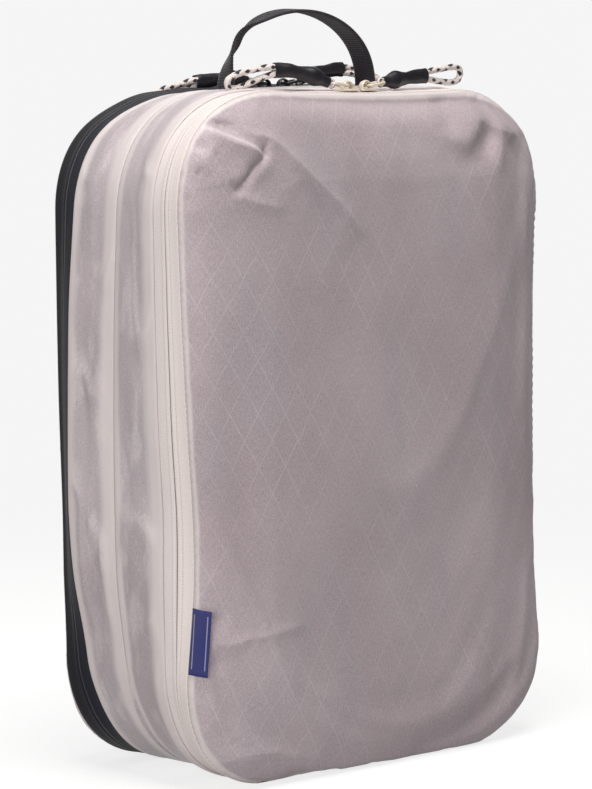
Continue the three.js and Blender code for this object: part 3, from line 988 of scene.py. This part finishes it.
def carry_over(shift, coarse, fine):
    """The shifts of the coarse pattern's points, spread smoothly to the fine pattern's points."""
    tree = kdtree.KDTree(len(coarse))
    for i, (x, z) in enumerate(coarse):
        tree.insert((x, z, 0), i)
    tree.balance()
    out = np.zeros((len(fine), 3))
    for i, (x, z) in enumerate(fine):
        found = tree.find_n((x, z, 0), 7)
        away = np.array([d for _, _, d in found])
        weights = np.clip(1 - away / (away[-1] * 1.001), 0, 1) ** 2 + 1e-9
        out[i] = (shift[[k for _, k, _ in found]] * weights[:, None]).sum(0) / weights.sum()
    return out


def lay_flat(piece):
    """Gives a piece of a lid its own copy of its mesh."""
    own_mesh(piece)


def build_panel(end, fullness, folds, seed):
    """One lid's panel. The rear one is made like a front one and turned half round."""
    facing = SIDE[end]
    flat, faces, _ = panel_pattern(2.8 * MM, 0.9 * MM, folds)
    points, inside = crown_points(flat, fullness, folds, seed, facing)
    coarse, coarse_faces, border = panel_pattern(4.6 * MM)
    toile = mesh_object(
        f"{end}_toile", crown_points(coarse, fullness, folds, seed, facing)[0], coarse_faces
    )
    shift = inflate(toile, range(border))
    bpy.data.objects.remove(toile)
    points = points + carry_over(shift, coarse, flat) * smooth(inside, 0, 6 * MM)[:, None]
    points[:, 2] = np.maximum(points[:, 2], 0)  # the floor holds the stuffed panel up
    formed = pattern_place(flat) * [-facing, 1]
    # how strong the painted highlight along the fold tops is at each point
    crest_highlight = np.max([fold.crest_highlight(formed) for fold in folds], 0)
    piece = mesh_object(f"{end}_panel_cloth", points, faces, flat, inside, [PANEL_FABRIC], crest_highlight=crest_highlight)
    thicken(piece, FABRIC, 0)
    finish_piece(piece, f"{end}_lid", [f"{end}_panel"], "panel_fabric")
    lay_flat(piece)


# ---- gussets and zips

ZIP_START = HINGE_HALF - 6 * MM
ZIP_SPAN = (ZIP_START, PERIMETER - ZIP_START)
FULL_SPAN = (0.0, PERIMETER)
GUSSET_EDGE = GUSSET_Y + 0.6 * MM
HEM_EDGE = GUSSET_Y - 7.4 * MM  # from here to its edge the gusset is folded double over the tape
GUSSET_LEAN = {"front": (1.4, 0.75), "rear": (0.78, 1.1)}


def strip_noise(s, y, size, seed, stretch=1.0):
    """Smooth noise about 0 over a strip, from its places s and depths y."""
    return cloth_noise(np.stack([y.ravel(), s.ravel()], -1), size, seed, stretch).reshape(s.shape)


def gusset_ripple(seed):
    """Soft upright folds and pillowing between a gusset's two sewn edges."""

    def ripple(s, y):
        inner = 1.0 * MM
        held = np.sin(np.pi * np.clip((np.abs(y) - inner) / (GUSSET_Y - inner), 0, 1)) ** 0.7
        folds = 1.5 * strip_noise(s, y, 11 * MM, seed, 7.0)
        folds += 1.5 * strip_noise(s, y, 26 * MM, seed + 5, 2.2)
        folds += 0.35 * strip_noise(s, y, 7 * MM, seed + 9, 1.6)
        crests = np.exp(-12 * np.abs(strip_noise(s, y, 17 * MM, seed + 17, 4.0)))
        folds += 2.2 * crests * smooth(strip_noise(s, y, 40 * MM, seed + 31, 1.5), -0.1, 0.3)
        normal = rim(s)[1]
        upright = np.clip(normal[..., 0] ** 2 + 0.25, 0, 1)
        grounded = np.where(normal[..., 1] < -0.7, 0.15, 1.0)
        return held * (folds + 0.6) * upright * grounded * MM

    return ripple


def build_gusset(end, seed):
    """The gusset from the middle seam to one zip, where its edge is folded over the tape."""
    inner = np.linspace(0.25 * MM, 3 * MM, 5)
    middle = np.linspace(4.5 * MM, GUSSET_Y - 8 * MM, 14)
    across = np.concatenate([inner, middle, np.linspace(HEM_EDGE, GUSSET_EDGE, 9)])
    dip = 0.4 * MM * np.exp(-across / (1.4 * MM))
    hem = -0.3 * MM * smooth(across, HEM_EDGE, HEM_EDGE + 2 * MM)
    roll = 0.45 * MM * smooth(across, GUSSET_EDGE - 0.7 * MM, GUSSET_EDGE)
    piece = strip(
        f"{end}_gusset_cloth", GUSSET_FABRIC, SIDE[end] * across, dip + hem + roll, FULL_SPAN, 2.0 * MM,
        gusset_ripple(seed), GUSSET_LEAN[end],
    )
    finish_piece(piece, "bag_body", [f"{end}_gusset"], "gusset_fabric")


def tape_inset(across):
    """How deep a zip's face lies, by distance from the middle plane."""
    seam = smooth(across, CHAIN_Y + 3 * MM, SEAM_Y)
    ridge = 0.3 * MM * np.exp(-(((across - CHAIN_Y) / (2.6 * MM)) ** 4))
    return 0.75 * MM * (1 - 0.55 * seam) - ridge


def tape_waver(s, y):
    """How far a tape stands out unevenly along the zip."""
    return 0.25 * MM * strip_noise(s, y, 30 * MM, 3.0, 1.5)


def build_tape(end, owner, body, across, material, slot):
    node = f"{end}_zip_{owner}_tape"
    piece = strip(
        f"{node}_woven", material, SIDE[end] * across, tape_inset(across), ZIP_SPAN, 2.6 * MM, tape_waver
    )
    finish_piece(piece, body, [node], slot)


COIL_PITCH, COIL_WIRE = 1.5 * MM, 0.3 * MM
COIL_MIDDLE, COIL_REACH = 1.0 * MM, 1.45 * MM  # from the chain's middle line, and to either side of there
COIL_DEEP, COIL_HALF = 1.55 * MM, 0.62 * MM  # below the outline, and to either side of there


def build_coil(end, owner, body, half, material, slot):
    """A sewn spiral coil. half is 1 on the lid's tape and -1 on the body's, and the two interleave."""
    steps = 8
    start = ZIP_START + 2 * MM
    turns = int((PERIMETER - 2 * start) / COIL_PITCH)
    t = np.arange(turns * steps + 1) / steps
    phase = 2 * math.pi * (t + (0.5 if half > 0 else 0.0))
    across = CHAIN_Y + half * (COIL_MIDDLE - COIL_REACH * np.cos(phase))
    depth = COIL_DEEP - COIL_HALF * np.sin(phase)
    path = place(start + t * COIL_PITCH, SIDE[end] * across, depth)
    node = f"{end}_zip_{owner}_coil"
    piece = sweep(f"{node}_spiral", path, circle_section(COIL_WIRE, 5), (0, 1, 0), [material])
    finish_piece(piece, body, [node], slot)


STITCH_PITCH = 3.0 * MM
STITCH_SIDES = 5
# Rings along a stitch: share of its length, then how high it lies and how stout it is, in radii
STITCH_RINGS = [
    (0.0, -0.9, 0.25), (0.12, -0.2, 0.9), (0.5, 0.25, 1.0), (0.88, -0.2, 0.9), (1.0, -0.9, 0.25),
]


def build_stitches(name, y, inset, material, body, length=2.4 * MM, radius=0.24 * MM):
    """A row of lockstitches lying on the fabric all round the bag, each dipping in at its ends."""
    count = int(PERIMETER / STITCH_PITCH)
    turn = np.arange(STITCH_SIDES) / STITCH_SIDES * 2 * math.pi
    rings, uv = [], []
    for share, lift, stout in STITCH_RINGS:
        s = np.arange(count) * STITCH_PITCH + share * length
        base = place(s, y, inset - radius * (0.35 + lift))
        normal = rim(s)[1]
        outward = np.stack([normal[:, 0], np.zeros(count), normal[:, 1]], -1)
        round_it = np.sin(turn)[:, None] * outward[:, None] + np.cos(turn)[:, None] * np.array([0, 1.0, 0])
        rings.append(base[:, None] + radius * stout * round_it)
        uv.append(np.stack(np.broadcast_arrays(turn[None, :] / (2 * math.pi), s[:, None]), -1))
    each = len(STITCH_RINGS) * STITCH_SIDES
    first = np.arange(count)[:, None] * each
    one = grid_faces(len(STITCH_RINGS), STITCH_SIDES, False, True)
    sides = (one[None] + first[..., None]).reshape(-1, 4)
    near_caps = first + np.arange(STITCH_SIDES)[::-1]
    far_caps = first + each - STITCH_SIDES + np.arange(STITCH_SIDES)
    faces = [tuple(face) for group in (sides, near_caps, far_caps) for face in group]
    points = np.stack(rings, 1).reshape(-1, 3)
    piece = mesh_object(name, points, faces, np.stack(uv, 1).reshape(-1, 2), None, [material])
    finish_piece(piece, body)


def build_binding(end):
    """The lid seam's allowance, turned in behind the seam."""
    inset = np.linspace(2.4 * MM, 8 * MM, 6)
    across = SEAM_Y - (1.6 + 0.5 * np.sin(np.linspace(0, 2.4, 6))) * MM
    piece = strip(f"{end}_seam_allowance_cloth", SEAM_CLOTH, SIDE[end] * across, inset, FULL_SPAN, 3.2 * MM)
    finish_piece(piece, f"{end}_lid", [f"{end}_seam_binding"], "seam_tape")


def build_hinge_band(end):
    """The unzipped fabric that a lid folds on, from the gusset's edge to the lid's seam."""
    side = SIDE[end]
    across = side * np.linspace(GUSSET_EDGE, SEAM_Y + 0.2 * MM, 12)
    s = np.linspace(-HINGE_HALF, HINGE_HALF, 41)
    grid_s, grid_y = np.meshgrid(s, across, indexing="ij")
    points = place(grid_s, grid_y, 0.25 * MM).reshape(-1, 3)
    faces = grid_faces(len(s), len(across))[:, ::-side]
    uv = np.stack([grid_y, grid_s], -1).reshape(-1, 2)
    edge = np.minimum(np.abs(np.abs(grid_y) - SEAM_Y), HINGE_HALF - np.abs(grid_s)).ravel()
    piece = mesh_object(f"{end}_hinge_cloth", points, faces, uv, edge, [GUSSET_FABRIC])
    thicken(piece, FABRIC, 1)
    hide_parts(f"{end}_hinge_band")
    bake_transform(piece)


def build_zip(end, tape, coil, thread, slot):
    lid, side = f"{end}_lid", SIDE[end]
    lid_half = np.linspace(CHAIN_Y + TAPE_GAP, SEAM_Y - 0.1 * MM, 12)
    body_half = np.linspace(CHAIN_Y - TAPE_GAP, GUSSET_Y - 6 * MM, 14)
    halves = (("lid", lid, 1, lid_half), ("body", "bag_body", -1, body_half))
    for owner, body, _, across in halves:
        build_tape(end, owner, body, across, tape, slot)
    for owner, body, half, _ in halves:
        build_coil(end, owner, body, half, coil, slot)
    build_binding(end)
    build_hinge_band(end)
    build_stitches(f"{end}_lid_seam_stitches", side * (SEAM_Y - 0.2 * MM), 0.35 * MM, thread, lid)
    build_stitches(
        f"{end}_gusset_edge_stitches", side * (GUSSET_Y - 0.5 * MM), -0.3 * MM, thread, "bag_body",
        length=2.2 * MM, radius=0.2 * MM,
    )


# ---- inside

def build_divider():
    """The wall between the compartments, a rounded sheet that hangs a little uneven."""
    columns, rows = 56, 80
    grid = np.meshgrid(np.linspace(-1, 1, columns), np.linspace(-1, 1, rows), indexing="ij")
    square = np.stack(grid, -1).reshape(-1, 2)
    low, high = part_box("divider_panel")
    half = np.array([high.x, (high.z - low.z) / 2]) - 0.2 * MM
    spot = square * half
    past = np.abs(spot) - (half - CORNER)
    reach = np.linalg.norm(np.maximum(past, 0), axis=1)
    share = np.maximum(past.max(1), 1e-9) / np.maximum(reach, 1e-9)
    kept = np.where((past > 0).all(1), share, 1.0)
    rounded = np.sign(spot) * (np.abs(spot) - np.maximum(past, 0) * (1 - kept)[:, None])
    flat = rounded + [0, (low.z + high.z) / 2]
    free = 1 - np.abs(square).max(1) ** 4
    sag = free * MM * (3.0 * cloth_noise(flat, 70 * MM, 5.0, 1.3) + 0.9 * cloth_noise(flat, 26 * MM, 8.0))
    points = np.stack([flat[:, 0], sag, flat[:, 1]], -1)
    edge = (half - np.abs(rounded)).min(1)
    piece = mesh_object("divider_cloth", points, grid_faces(columns, rows), flat, edge, [LINING])
    thicken(piece, FABRIC, 0)
    finish_piece(piece, "bag_body", ["divider_panel"], "gusset_fabric")


def build_middle_seam():
    """The middle seam's allowance, turned forwards inside the front gusset."""
    across = -np.linspace(1.0 * MM, 8.8 * MM, 8)
    inset = 1.6 * MM + 0.5 * MM * np.sin(np.linspace(0, 3, 8))
    piece = strip("middle_seam_allowance_cloth", SEAM_CLOTH, across, inset, FULL_SPAN, 3.2 * MM)
    finish_piece(piece, "bag_body", ["middle_seam_allowance"], "seam_tape")


# ---- label and handle

LABEL_WIDE = 10.5 * MM
LABEL_DROOP = 1.2 * MM  # how much lower the label's free edge hangs


def build_label():
    """A folded woven label sewn into the front left seam, lying out over the panel."""
    low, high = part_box("side_label")
    tall = high.z - low.z
    rows, columns = 24, 14
    down, out = np.meshgrid(np.linspace(0, 1, rows), np.linspace(0, 1, columns), indexing="ij")
    reach = 0.6 * MM + out * LABEL_WIDE
    flat = np.stack([reach - HALF_WIDTH - SPREAD, high.z - down * tall - out * LABEL_DROOP], -1)
    xz, rise, _, _ = crown_surface(flat.reshape(-1, 2), FRONT_FULLNESS, SIDE["front"])
    surface = np.stack([xz[:, 0], -SEAM_Y - rise, xz[:, 1]], -1).reshape(rows, columns, 3)
    ahead = unit(np.gradient(surface, axis=1))
    outward = np.stack([ahead[..., 1], -ahead[..., 0], 0 * ahead[..., 2]], -1)
    curl = (0.7 + 1.6 * out**2 + 0.5 * np.sin(down * 5 + 1) * out) * MM
    points = (surface + outward * curl[..., None]).reshape(-1, 3)
    uv = np.stack([out * LABEL_WIDE, (1 - down) * tall], -1).reshape(-1, 2)
    piece = mesh_object("side_label_woven", points, grid_faces(rows, columns), uv, None, [NAVY_SATIN])
    thicken(piece, 0.45 * MM, 1)
    finish_piece(piece, "front_lid", ["side_label"], "label_navy")
    lay_flat(piece)


HANDLE_SHIFT = 4 * MM  # the handle is sewn on a little nearer the bag's left
WEBBING_HALF = 0.8 * MM  # half the webbing's thickness
RIB_PITCH = 1.5 * MM


def webbing_section(wide, half):
    """A flat bar with round edges and a faintly ribbed face, as offsets along and across its breadth."""
    body = wide - WEBBING_HALF
    edge = np.linspace(-math.pi / 2, math.pi / 2, 5)
    round_edge = np.stack([np.sin(edge) * half, body + np.cos(edge) * WEBBING_HALF], -1)
    rows = np.linspace(body, -body, 8)[1:-1]
    face = np.stack([half * (1 + 0.06 * np.cos(rows / body * 9)), rows], -1)
    return np.vstack([round_edge, face, -round_edge, -face])


def build_handle():
    """Ribbed webbing in an arch, its left leg turned on edge."""
    low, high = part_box("grab_handle")
    foot = high.x - WEBBING_HALF
    t = np.linspace(0, 1, 41)
    angle = math.pi * (1 - t)
    base = low.z - 0.6 * MM
    rise = high.z - base - WEBBING_HALF
    path = np.stack([
        np.cos(angle) * foot * (1 - 0.05 * np.sin(angle) ** 2) - HANDLE_SHIFT,
        1.5 * MM * np.sin(math.pi * t),
        base + np.sin(angle) ** 0.82 * rise,
    ], -1)
    path = resample(path, RIB_PITCH / 4)
    lengths = arc_lengths(path)
    share = lengths / lengths[-1]
    twist = np.radians(66) * np.exp(-(((share - 0.2) / 0.13) ** 2))
    twist += np.radians(10) * np.exp(-(((share - 0.45) / 0.1) ** 2))
    across = np.stack([np.sin(twist) * 0.9, np.cos(twist), np.sin(twist) * 0.2], -1)
    half = WEBBING_HALF + 0.11 * MM * np.sin(lengths / RIB_PITCH * 2 * math.pi)
    wide = (high.y - low.y) / 2
    piece = sweep("grab_handle_webbing", path, lambda i: webbing_section(wide, half[i]), across, [WEBBING])
    piece.data.flip_normals()
    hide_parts("grab_handle")
    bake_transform(piece)


# ---- sliders

SLIDER_HALF, NOSE_HALF, TAIL_HALF = 6.5 * MM, 4.6 * MM, 3.7 * MM
PLATE_CORNER, PLATE_ROUND = 1.9 * MM, 0.5 * MM
UPPER_PLATE = (0.3 * MM, 1.6 * MM)  # heights above the tape
LOWER_PLATE = (-4.7 * MM, -3.4 * MM)
WEB_LOW, WEB_HIGH = np.array([(-5.5, -0.5, -3.6), (-1.5, 0.5, 0.5)]) * MM
BRIDGE_HALF, BRIDGE_FOOT, BRIDGE_RISE = 3.55 * MM, 1.3 * MM, 4.0 * MM


def slider_plan():
    """The outline of a slider's plates, wide at the nose, as (x, y) points."""
    points = []
    corners = [(-1, 1, NOSE_HALF), (1, 1, TAIL_HALF), (1, -1, TAIL_HALF), (-1, -1, NOSE_HALF)]
    for k, (ahead, aside, half) in enumerate(corners):
        turn = math.pi - k * math.pi / 2 - np.linspace(0, math.pi / 2, 6)
        centre = [ahead * (SLIDER_HALF - PLATE_CORNER), aside * (half - PLATE_CORNER)]
        points.append(centre + PLATE_CORNER * np.stack([np.cos(turn), np.sin(turn)], -1))
    return np.vstack(points)


def plate(low, high):
    """A plate on the slider's plan with rounded rims, as points and faces."""
    plan = slider_plan()
    sides = len(plan)
    norm = np.linalg.norm(plan, axis=1)[:, None]
    rings = []
    for t in np.linspace(0, math.pi, 7):
        shrink = PLATE_ROUND * (1 - math.sin(t))
        z = low + (high - low) * (1 - math.cos(t)) / 2
        rings.append(np.column_stack([plan * (1 - shrink / norm), np.full(sides, z)]))
    faces = [tuple(f[::-1]) for f in grid_faces(len(rings), sides, False, True)]
    return np.vstack(rings), faces + end_caps(len(rings), sides)


def web():
    """The block that joins the plates, near the nose."""
    x, y = zip(WEB_LOW[:2], WEB_HIGH[:2])
    plan = [(x[0], y[0]), (x[1], y[0]), (x[1], y[1]), (x[0], y[1])]
    points = np.array([(*spot, z) for z in (WEB_LOW[2], WEB_HIGH[2]) for spot in plan])
    sides = [(k, (k + 1) % 4, (k + 1) % 4 + 4, k + 4) for k in range(4)]
    return points, [(0, 3, 2, 1), (4, 5, 6, 7)] + sides


def bridge():
    """The arch over the upper plate that the pull's link runs through."""
    angle = np.linspace(0, math.pi, 25)
    height = BRIDGE_FOOT + np.sin(angle) ** 0.85 * BRIDGE_RISE
    path = np.stack([np.cos(angle) * BRIDGE_HALF, 0 * angle, height], -1)
    first, second = path_frames(path, (0, 1, 0))
    cosine, sine = circle(14)
    broad = 1.9 * MM - 0.5 * MM * np.sin(angle) ** 2
    points = (
        path[:, None]
        + (sine * broad[:, None])[..., None] * first[:, None]
        + (cosine * 0.72 * MM)[:, None] * second[:, None]
    )
    return points.reshape(-1, 3), grid_faces(25, 14, False, True)


def slider_mesh(name, matrix, material):
    """Two plates, the web between them and the arched bridge that holds the pull."""
    points, faces, count = [], [], 0
    for spots, group in (plate(*UPPER_PLATE), plate(*LOWER_PLATE), web(), bridge()):
        faces += [tuple(count + int(i) for i in face) for face in group]
        points.append(spots)
        count += len(spots)
    world = np.vstack(points) @ np.array(matrix.to_3x3()).T + np.array(matrix.translation)
    return mesh_object(name, world, faces, None, None, [material])


# ---- pulls

LINK_LENGTH = 10.5 * MM
CORD_R = 1.75 * MM
SQUEEZED, NECKED = 0.76, 0.6  # the cord's girth in the sleeve and on the link, as shares of its free girth
SLEEVE_START, SLEEVE_END, LOOP_END = 11.8 * MM, 45 * MM, 72.7 * MM
TIED_AT = 21 * MM
PULL_TILT = math.radians(8)
BRAID_PITCH, BRAID_YARNS = 15.0 * MM, 4
# Half heights of the sleeve along the pull, before the knot and the waist
SLEEVE_AT = np.array([11.8, 15, 18, 26, 45]) * MM
SLEEVE_HALF = np.array([2.5, 2.5, 3.0, 3.4, 4.0]) * MM
# The cord's loop, as distances from the pivot and to the side: round the link's bar and out as a teardrop
CORD_LOOP = np.array([
    (8.6, 0), (9.7, -1.7), (13, -1.05), (20, -1.3), (33, -1.3), (43, -1.7), (50, -3.0), (57, -5.0),
    (65, -6.2), (70.6, -4.6), (72.1, -0.2), (70.4, 3.4), (64, 4.3), (56, 3.5), (49, 2.4), (43, 1.7),
    (33, 1.3), (20, 1.3), (13, 1.05), (9.7, 1.7),
]) * MM


def bell(x, middle, width):
    return np.exp(-(((x - middle) / width) ** 2))


def sleeve_half(x):
    """The sleeve's half height at x, swollen over the knot, narrow at the link."""
    knot = 1.5 * MM * bell(x, TIED_AT, 4.6 * MM)
    waist = -0.4 * MM * bell(x, 31 * MM, 3.5 * MM)
    return np.interp(x, SLEEVE_AT, SLEEVE_HALF) + knot + waist


class Pull:
    """One slider with its pull, which runs out from the pivot along its tilt.

    turned is how far the cord is swept sideways from the link, and drop how far its end hangs. hump lifts
    its middle, roll twists its loop, and spread is the loop's width as a share of a full teardrop.
    """

    def __init__(self, end, side_name, drop, turned=0.0, roll=0.0, hump=0.0, spread=1.0):
        self.prefix = f"{end}_{side_name}"
        self.direction = -1 if side_name == "left" else 1
        self.pivot = np.array(joints[f"{self.prefix}_pull_turn"]["pos_m"])
        self.drop, self.turned, self.roll = drop * MM, math.radians(turned), roll
        self.hump, self.spread = hump * MM, spread
        self.metal = CREAM_ENAMEL if end == "front" else BLACK_ENAMEL
        self.metal_slot = "slider_light" if end == "front" else "slider_dark"

    def centre(self, x):
        """The pull's middle line at distance x from its pivot."""
        x = np.asarray(x, float)
        out = np.array([self.direction * math.cos(PULL_TILT), 0, math.sin(PULL_TILT)])
        swept = np.array([out[0] * math.cos(self.turned), math.sin(self.turned), out[2]])
        points = self.pivot + np.minimum(x, LINK_LENGTH)[..., None] * out
        points = points + np.maximum(x - LINK_LENGTH, 0)[..., None] * swept
        share = np.clip((x - SLEEVE_START) / (LOOP_END - SLEEVE_START), 0, 1.1)
        points[..., 2] += np.sin(np.pi * np.minimum(share, 1)) * self.hump - self.drop * share**1.6
        return points

    def at(self, x, aside, up):
        """Points off the middle line, by sideways and upward distances."""
        along = unit(self.centre(x + 0.1 * MM) - self.centre(x - 0.1 * MM))
        side = unit(np.cross(along, [0, 0, 1.0]))
        lift = np.cross(side, along)
        roll = self.roll * np.clip((x - SLEEVE_START) / (LOOP_END - SLEEVE_START), 0, 1)
        c, s = np.cos(roll)[:, None], np.sin(roll)[:, None]
        side, lift = side * c + lift * s, lift * c - side * s
        return self.centre(x) + side * aside[:, None] + lift * up[:, None]

    def finish(self, piece, node, slot):
        """Makes a piece swing with the pull and stand for one of its nodes."""
        finish_piece(piece, f"{self.prefix}_pull", [f"{self.prefix}_pull_{node}"], slot)

    def build_link(self):
        """A rounded rectangle of wire."""
        half, bend, far = 3.1 * MM, 1.3 * MM, LINK_LENGTH - 1.3 * MM
        one_side = [(0, bend - half), (bend, -half), (far, -half), (LINK_LENGTH, bend - half)]
        ring = np.array(one_side + [(x, -y) for x, y in one_side[::-1]])
        path = resample(self.at(ring[:, 0], ring[:, 1], 0 * ring[:, 0]), 0.5 * MM, closed=True)
        wire = circle_section(0.8 * MM, 10)
        piece = sweep(f"{self.prefix}_pull_wire", path, wire, (0, 0, 1), [self.metal], closed=True)
        self.finish(piece, "link", self.metal_slot)

    def build_cord(self):
        """A closed loop of braid: round the link's bar, through the sleeve, and out as a teardrop."""
        x, up = CORD_LOOP.T
        up = up * (1 - (1 - self.spread) * smooth(x, SLEEVE_END - 2 * MM, SLEEVE_END + 11 * MM))
        wander = np.sin(x / (9 * MM)) * 0.35 * MM
        path = resample(self.at(x, wander, up), 0.3 * MM, closed=True)
        lengths = arc_lengths(path, True)
        sides = 20
        along = lengths[:-1] / lengths[-1] * max(1, round(lengths[-1] / BRAID_PITCH)) * BRAID_YARNS
        around = np.arange(sides) / sides * BRAID_YARNS
        right_hand, left_hand = along[:, None] + around, along[:, None] - around
        bump = np.abs(np.sin(np.pi * right_hand)) * np.abs(np.sin(np.pi * left_hand))
        reach = np.linalg.norm(path - self.pivot, axis=1)
        girth = 1 - (1 - SQUEEZED) * (1 - smooth(reach, SLEEVE_END - 7 * MM, SLEEVE_END))
        girth -= (SQUEEZED - NECKED) * (1 - smooth(reach, SLEEVE_START, SLEEVE_START + 6 * MM))
        radius = CORD_R * girth[:, None] * (0.92 + 0.12 * bump)
        rings = np.stack(circle(sides), -1) * radius[..., None]
        strand = np.floor(right_hand + 2 / sides).astype(int)
        cross = np.floor(left_hand - 2 / sides).astype(int)
        on_top = np.where((strand + cross) % 2 == 0, strand, cross)
        slots = (on_top % BRAID_YARNS == 0).astype(int).ravel()
        braid = f"{self.prefix}_pull_braid"
        yarns = [CORD_LIGHT, CORD_DARK]
        piece = sweep(braid, path, lambda i: rings[i], self.loop_normal(), yarns, closed=True, slots=slots)
        self.finish(piece, "cord", "cord_light")

    def loop_normal(self):
        """Square to the plane of the cord's loop, so never along the cord."""
        start, end = self.centre([30 * MM, 60 * MM])
        return unit(np.cross(end - start, [0, 0, 1.0]))

    def build_sleeve(self):
        """A shrunk tube, flatter than it is high, wrinkled over the knot."""
        x = np.linspace(SLEEVE_START, SLEEVE_END, 72)
        seed = len(self.prefix) + self.direction * 3.7
        cosine, sine = circle(28)
        tall = sleeve_half(x)
        broad = tall * (0.66 + 0.14 * bell(x, TIED_AT, 5 * MM))

        def section(i):
            along = x[i] / (6 * MM) + seed
            wrinkle = [noise.noise(Vector((0.9 * a, 0.9 * b, along))) for a, b in zip(cosine, sine)]
            reach = 1 + 0.13 * np.array(wrinkle)
            return np.stack([cosine * broad[i] * reach, sine * tall[i] * reach], -1)

        tube = f"{self.prefix}_pull_shrink_tube"
        piece = sweep(tube, self.centre(x), section, (0, 0, 1), [RUBBER], caps=False)
        thicken(piece, 0.45 * MM, 0)
        modifier(piece, "SUBSURF", levels=1, render_levels=1)
        self.finish(piece, "sleeve", "sleeve_black")

    def build_slider(self):
        low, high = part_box(f"{self.prefix}_slider")
        spin = Matrix.Rotation(0 if self.direction > 0 else math.pi, 4, "Z")
        spot = Matrix.Translation(((low.x + high.x) / 2, (low.y + high.y) / 2, TOP - TAPE_INSET))
        piece = slider_mesh(f"{self.prefix}_slider_cast", spot @ spin, self.metal)
        modifier(piece, "SUBSURF", levels=1, render_levels=1)
        finish_piece(piece, f"{self.prefix}_slider_body", [f"{self.prefix}_slider"], self.metal_slot)

    def build(self):
        self.build_slider()
        self.build_link()
        self.build_cord()
        self.build_sleeve()


def build_pulls():
    """Each pull lies its own way. Lengths are in millimetres and turned is in degrees."""
    Pull("front", "left", drop=9, turned=16, roll=0.25, hump=5.5, spread=0.7).build()
    Pull("front", "right", drop=4, roll=-0.15, spread=0.8).build()
    Pull("rear", "left", drop=17, turned=13, roll=0.9, hump=1, spread=0.5).build()
    Pull("rear", "right", drop=8, roll=1.1, hump=4, spread=0.6).build()


# ---- stage

CAMERA_AZIMUTH, CAMERA_ELEVATION = math.radians(-44.05), math.radians(5.84)
CAMERA_DISTANCE = 1.959
LOOKED_AT = Vector((-0.0047, 0, 0.1944))
# Each lamp's place, size, watts and colour
LAMPS = {
    "key_softbox": ((-1.5, -0.72, 0.5), 0.8, 13.5, (1.0, 0.985, 0.965)),
    "top_softbox": ((-0.2, -0.3, 1.5), 0.9, 18.0, (1.0, 0.985, 0.97)),
    "rear_softbox": ((1.0, 1.3, 0.8), 1.2, 9, (1.0, 0.99, 0.98)),
}


def build_floor():
    """A wide pale disc, a little below the bag so that cloth that sags past the ground isn't cut."""
    cosine, sine = circle(64)
    rings = [np.stack([cosine * r, sine * r, 0 * sine - 0.9 * MM], -1) for r in (0.02, 0.5, 1.5, 9)]
    points = np.vstack([rings[0] * [0, 0, 1]] + rings)
    faces = grid_faces(len(rings) + 1, 64, False, True)
    mesh_object("studio_floor", points, faces, None, None, [floor_material()])


def light_room():
    """An even room that looks pale to the camera and lights the bag only a little."""
    world = bpy.data.worlds.new("soft_room")
    world.use_nodes = True
    tree = world.node_tree
    background = tree.nodes["Background"]
    path = tree.nodes.new("ShaderNodeLightPath")
    room = tree.nodes.new("ShaderNodeMapRange")
    room.inputs["To Min"].default_value = 0.12
    room.inputs["To Max"].default_value = PALE
    tree.links.new(path.outputs["Is Camera Ray"], room.inputs["Value"])
    tree.links.new(room.outputs[0], background.inputs["Strength"])
    background.inputs["Color"].default_value = (1, 1, 1, 1)
    bpy.context.scene.world = world
    bpy.context.scene.view_settings.view_transform = "Standard"


def put(name, data, spot, aim):
    """An object at spot that looks along aim."""
    holder = bpy.data.objects.new(name, data)
    bpy.context.scene.collection.objects.link(holder)
    holder.location = spot
    holder.rotation_mode = "QUATERNION"
    holder.rotation_quaternion = aim.to_track_quat("-Z", "Y")
    return holder


def build_lamps():
    """Soft lamps from the left, from above and from behind."""
    for name, (spot, size, watts, colour) in LAMPS.items():
        lamp = bpy.data.lights.new(name, "AREA")
        set_all(lamp, {"shape": "DISK", "size": size, "energy": watts, "color": colour})
        put(name, lamp, spot, Vector((0, 0, 0.18)) - Vector(spot))


def build_camera():
    lens = bpy.data.cameras.new("camera")
    set_all(lens, {"lens": 165, "sensor_width": 36})
    level = Vector((math.sin(CAMERA_AZIMUTH), -math.cos(CAMERA_AZIMUTH), 0)) * math.cos(CAMERA_ELEVATION)
    back = level + Vector((0, 0, math.sin(CAMERA_ELEVATION)))
    bpy.context.scene.camera = put("camera", lens, LOOKED_AT + back * CAMERA_DISTANCE, -back)


build_panel("front", FRONT_FULLNESS, FRONT_FOLDS, 11.3)
build_panel("rear", REAR_FULLNESS, REAR_FOLDS, 47.9)
build_gusset("front", 21.0)
build_gusset("rear", 64.0)
build_zip("front", LIGHT_TAPE, LIGHT_COIL, TAN_THREAD, "zip_light")
build_zip("rear", DARK_TAPE, DARK_COIL, DARK_THREAD, "zip_dark")
build_divider()
build_middle_seam()
build_label()
build_handle()
build_pulls()
build_floor()
light_room()
build_lamps()
build_camera()
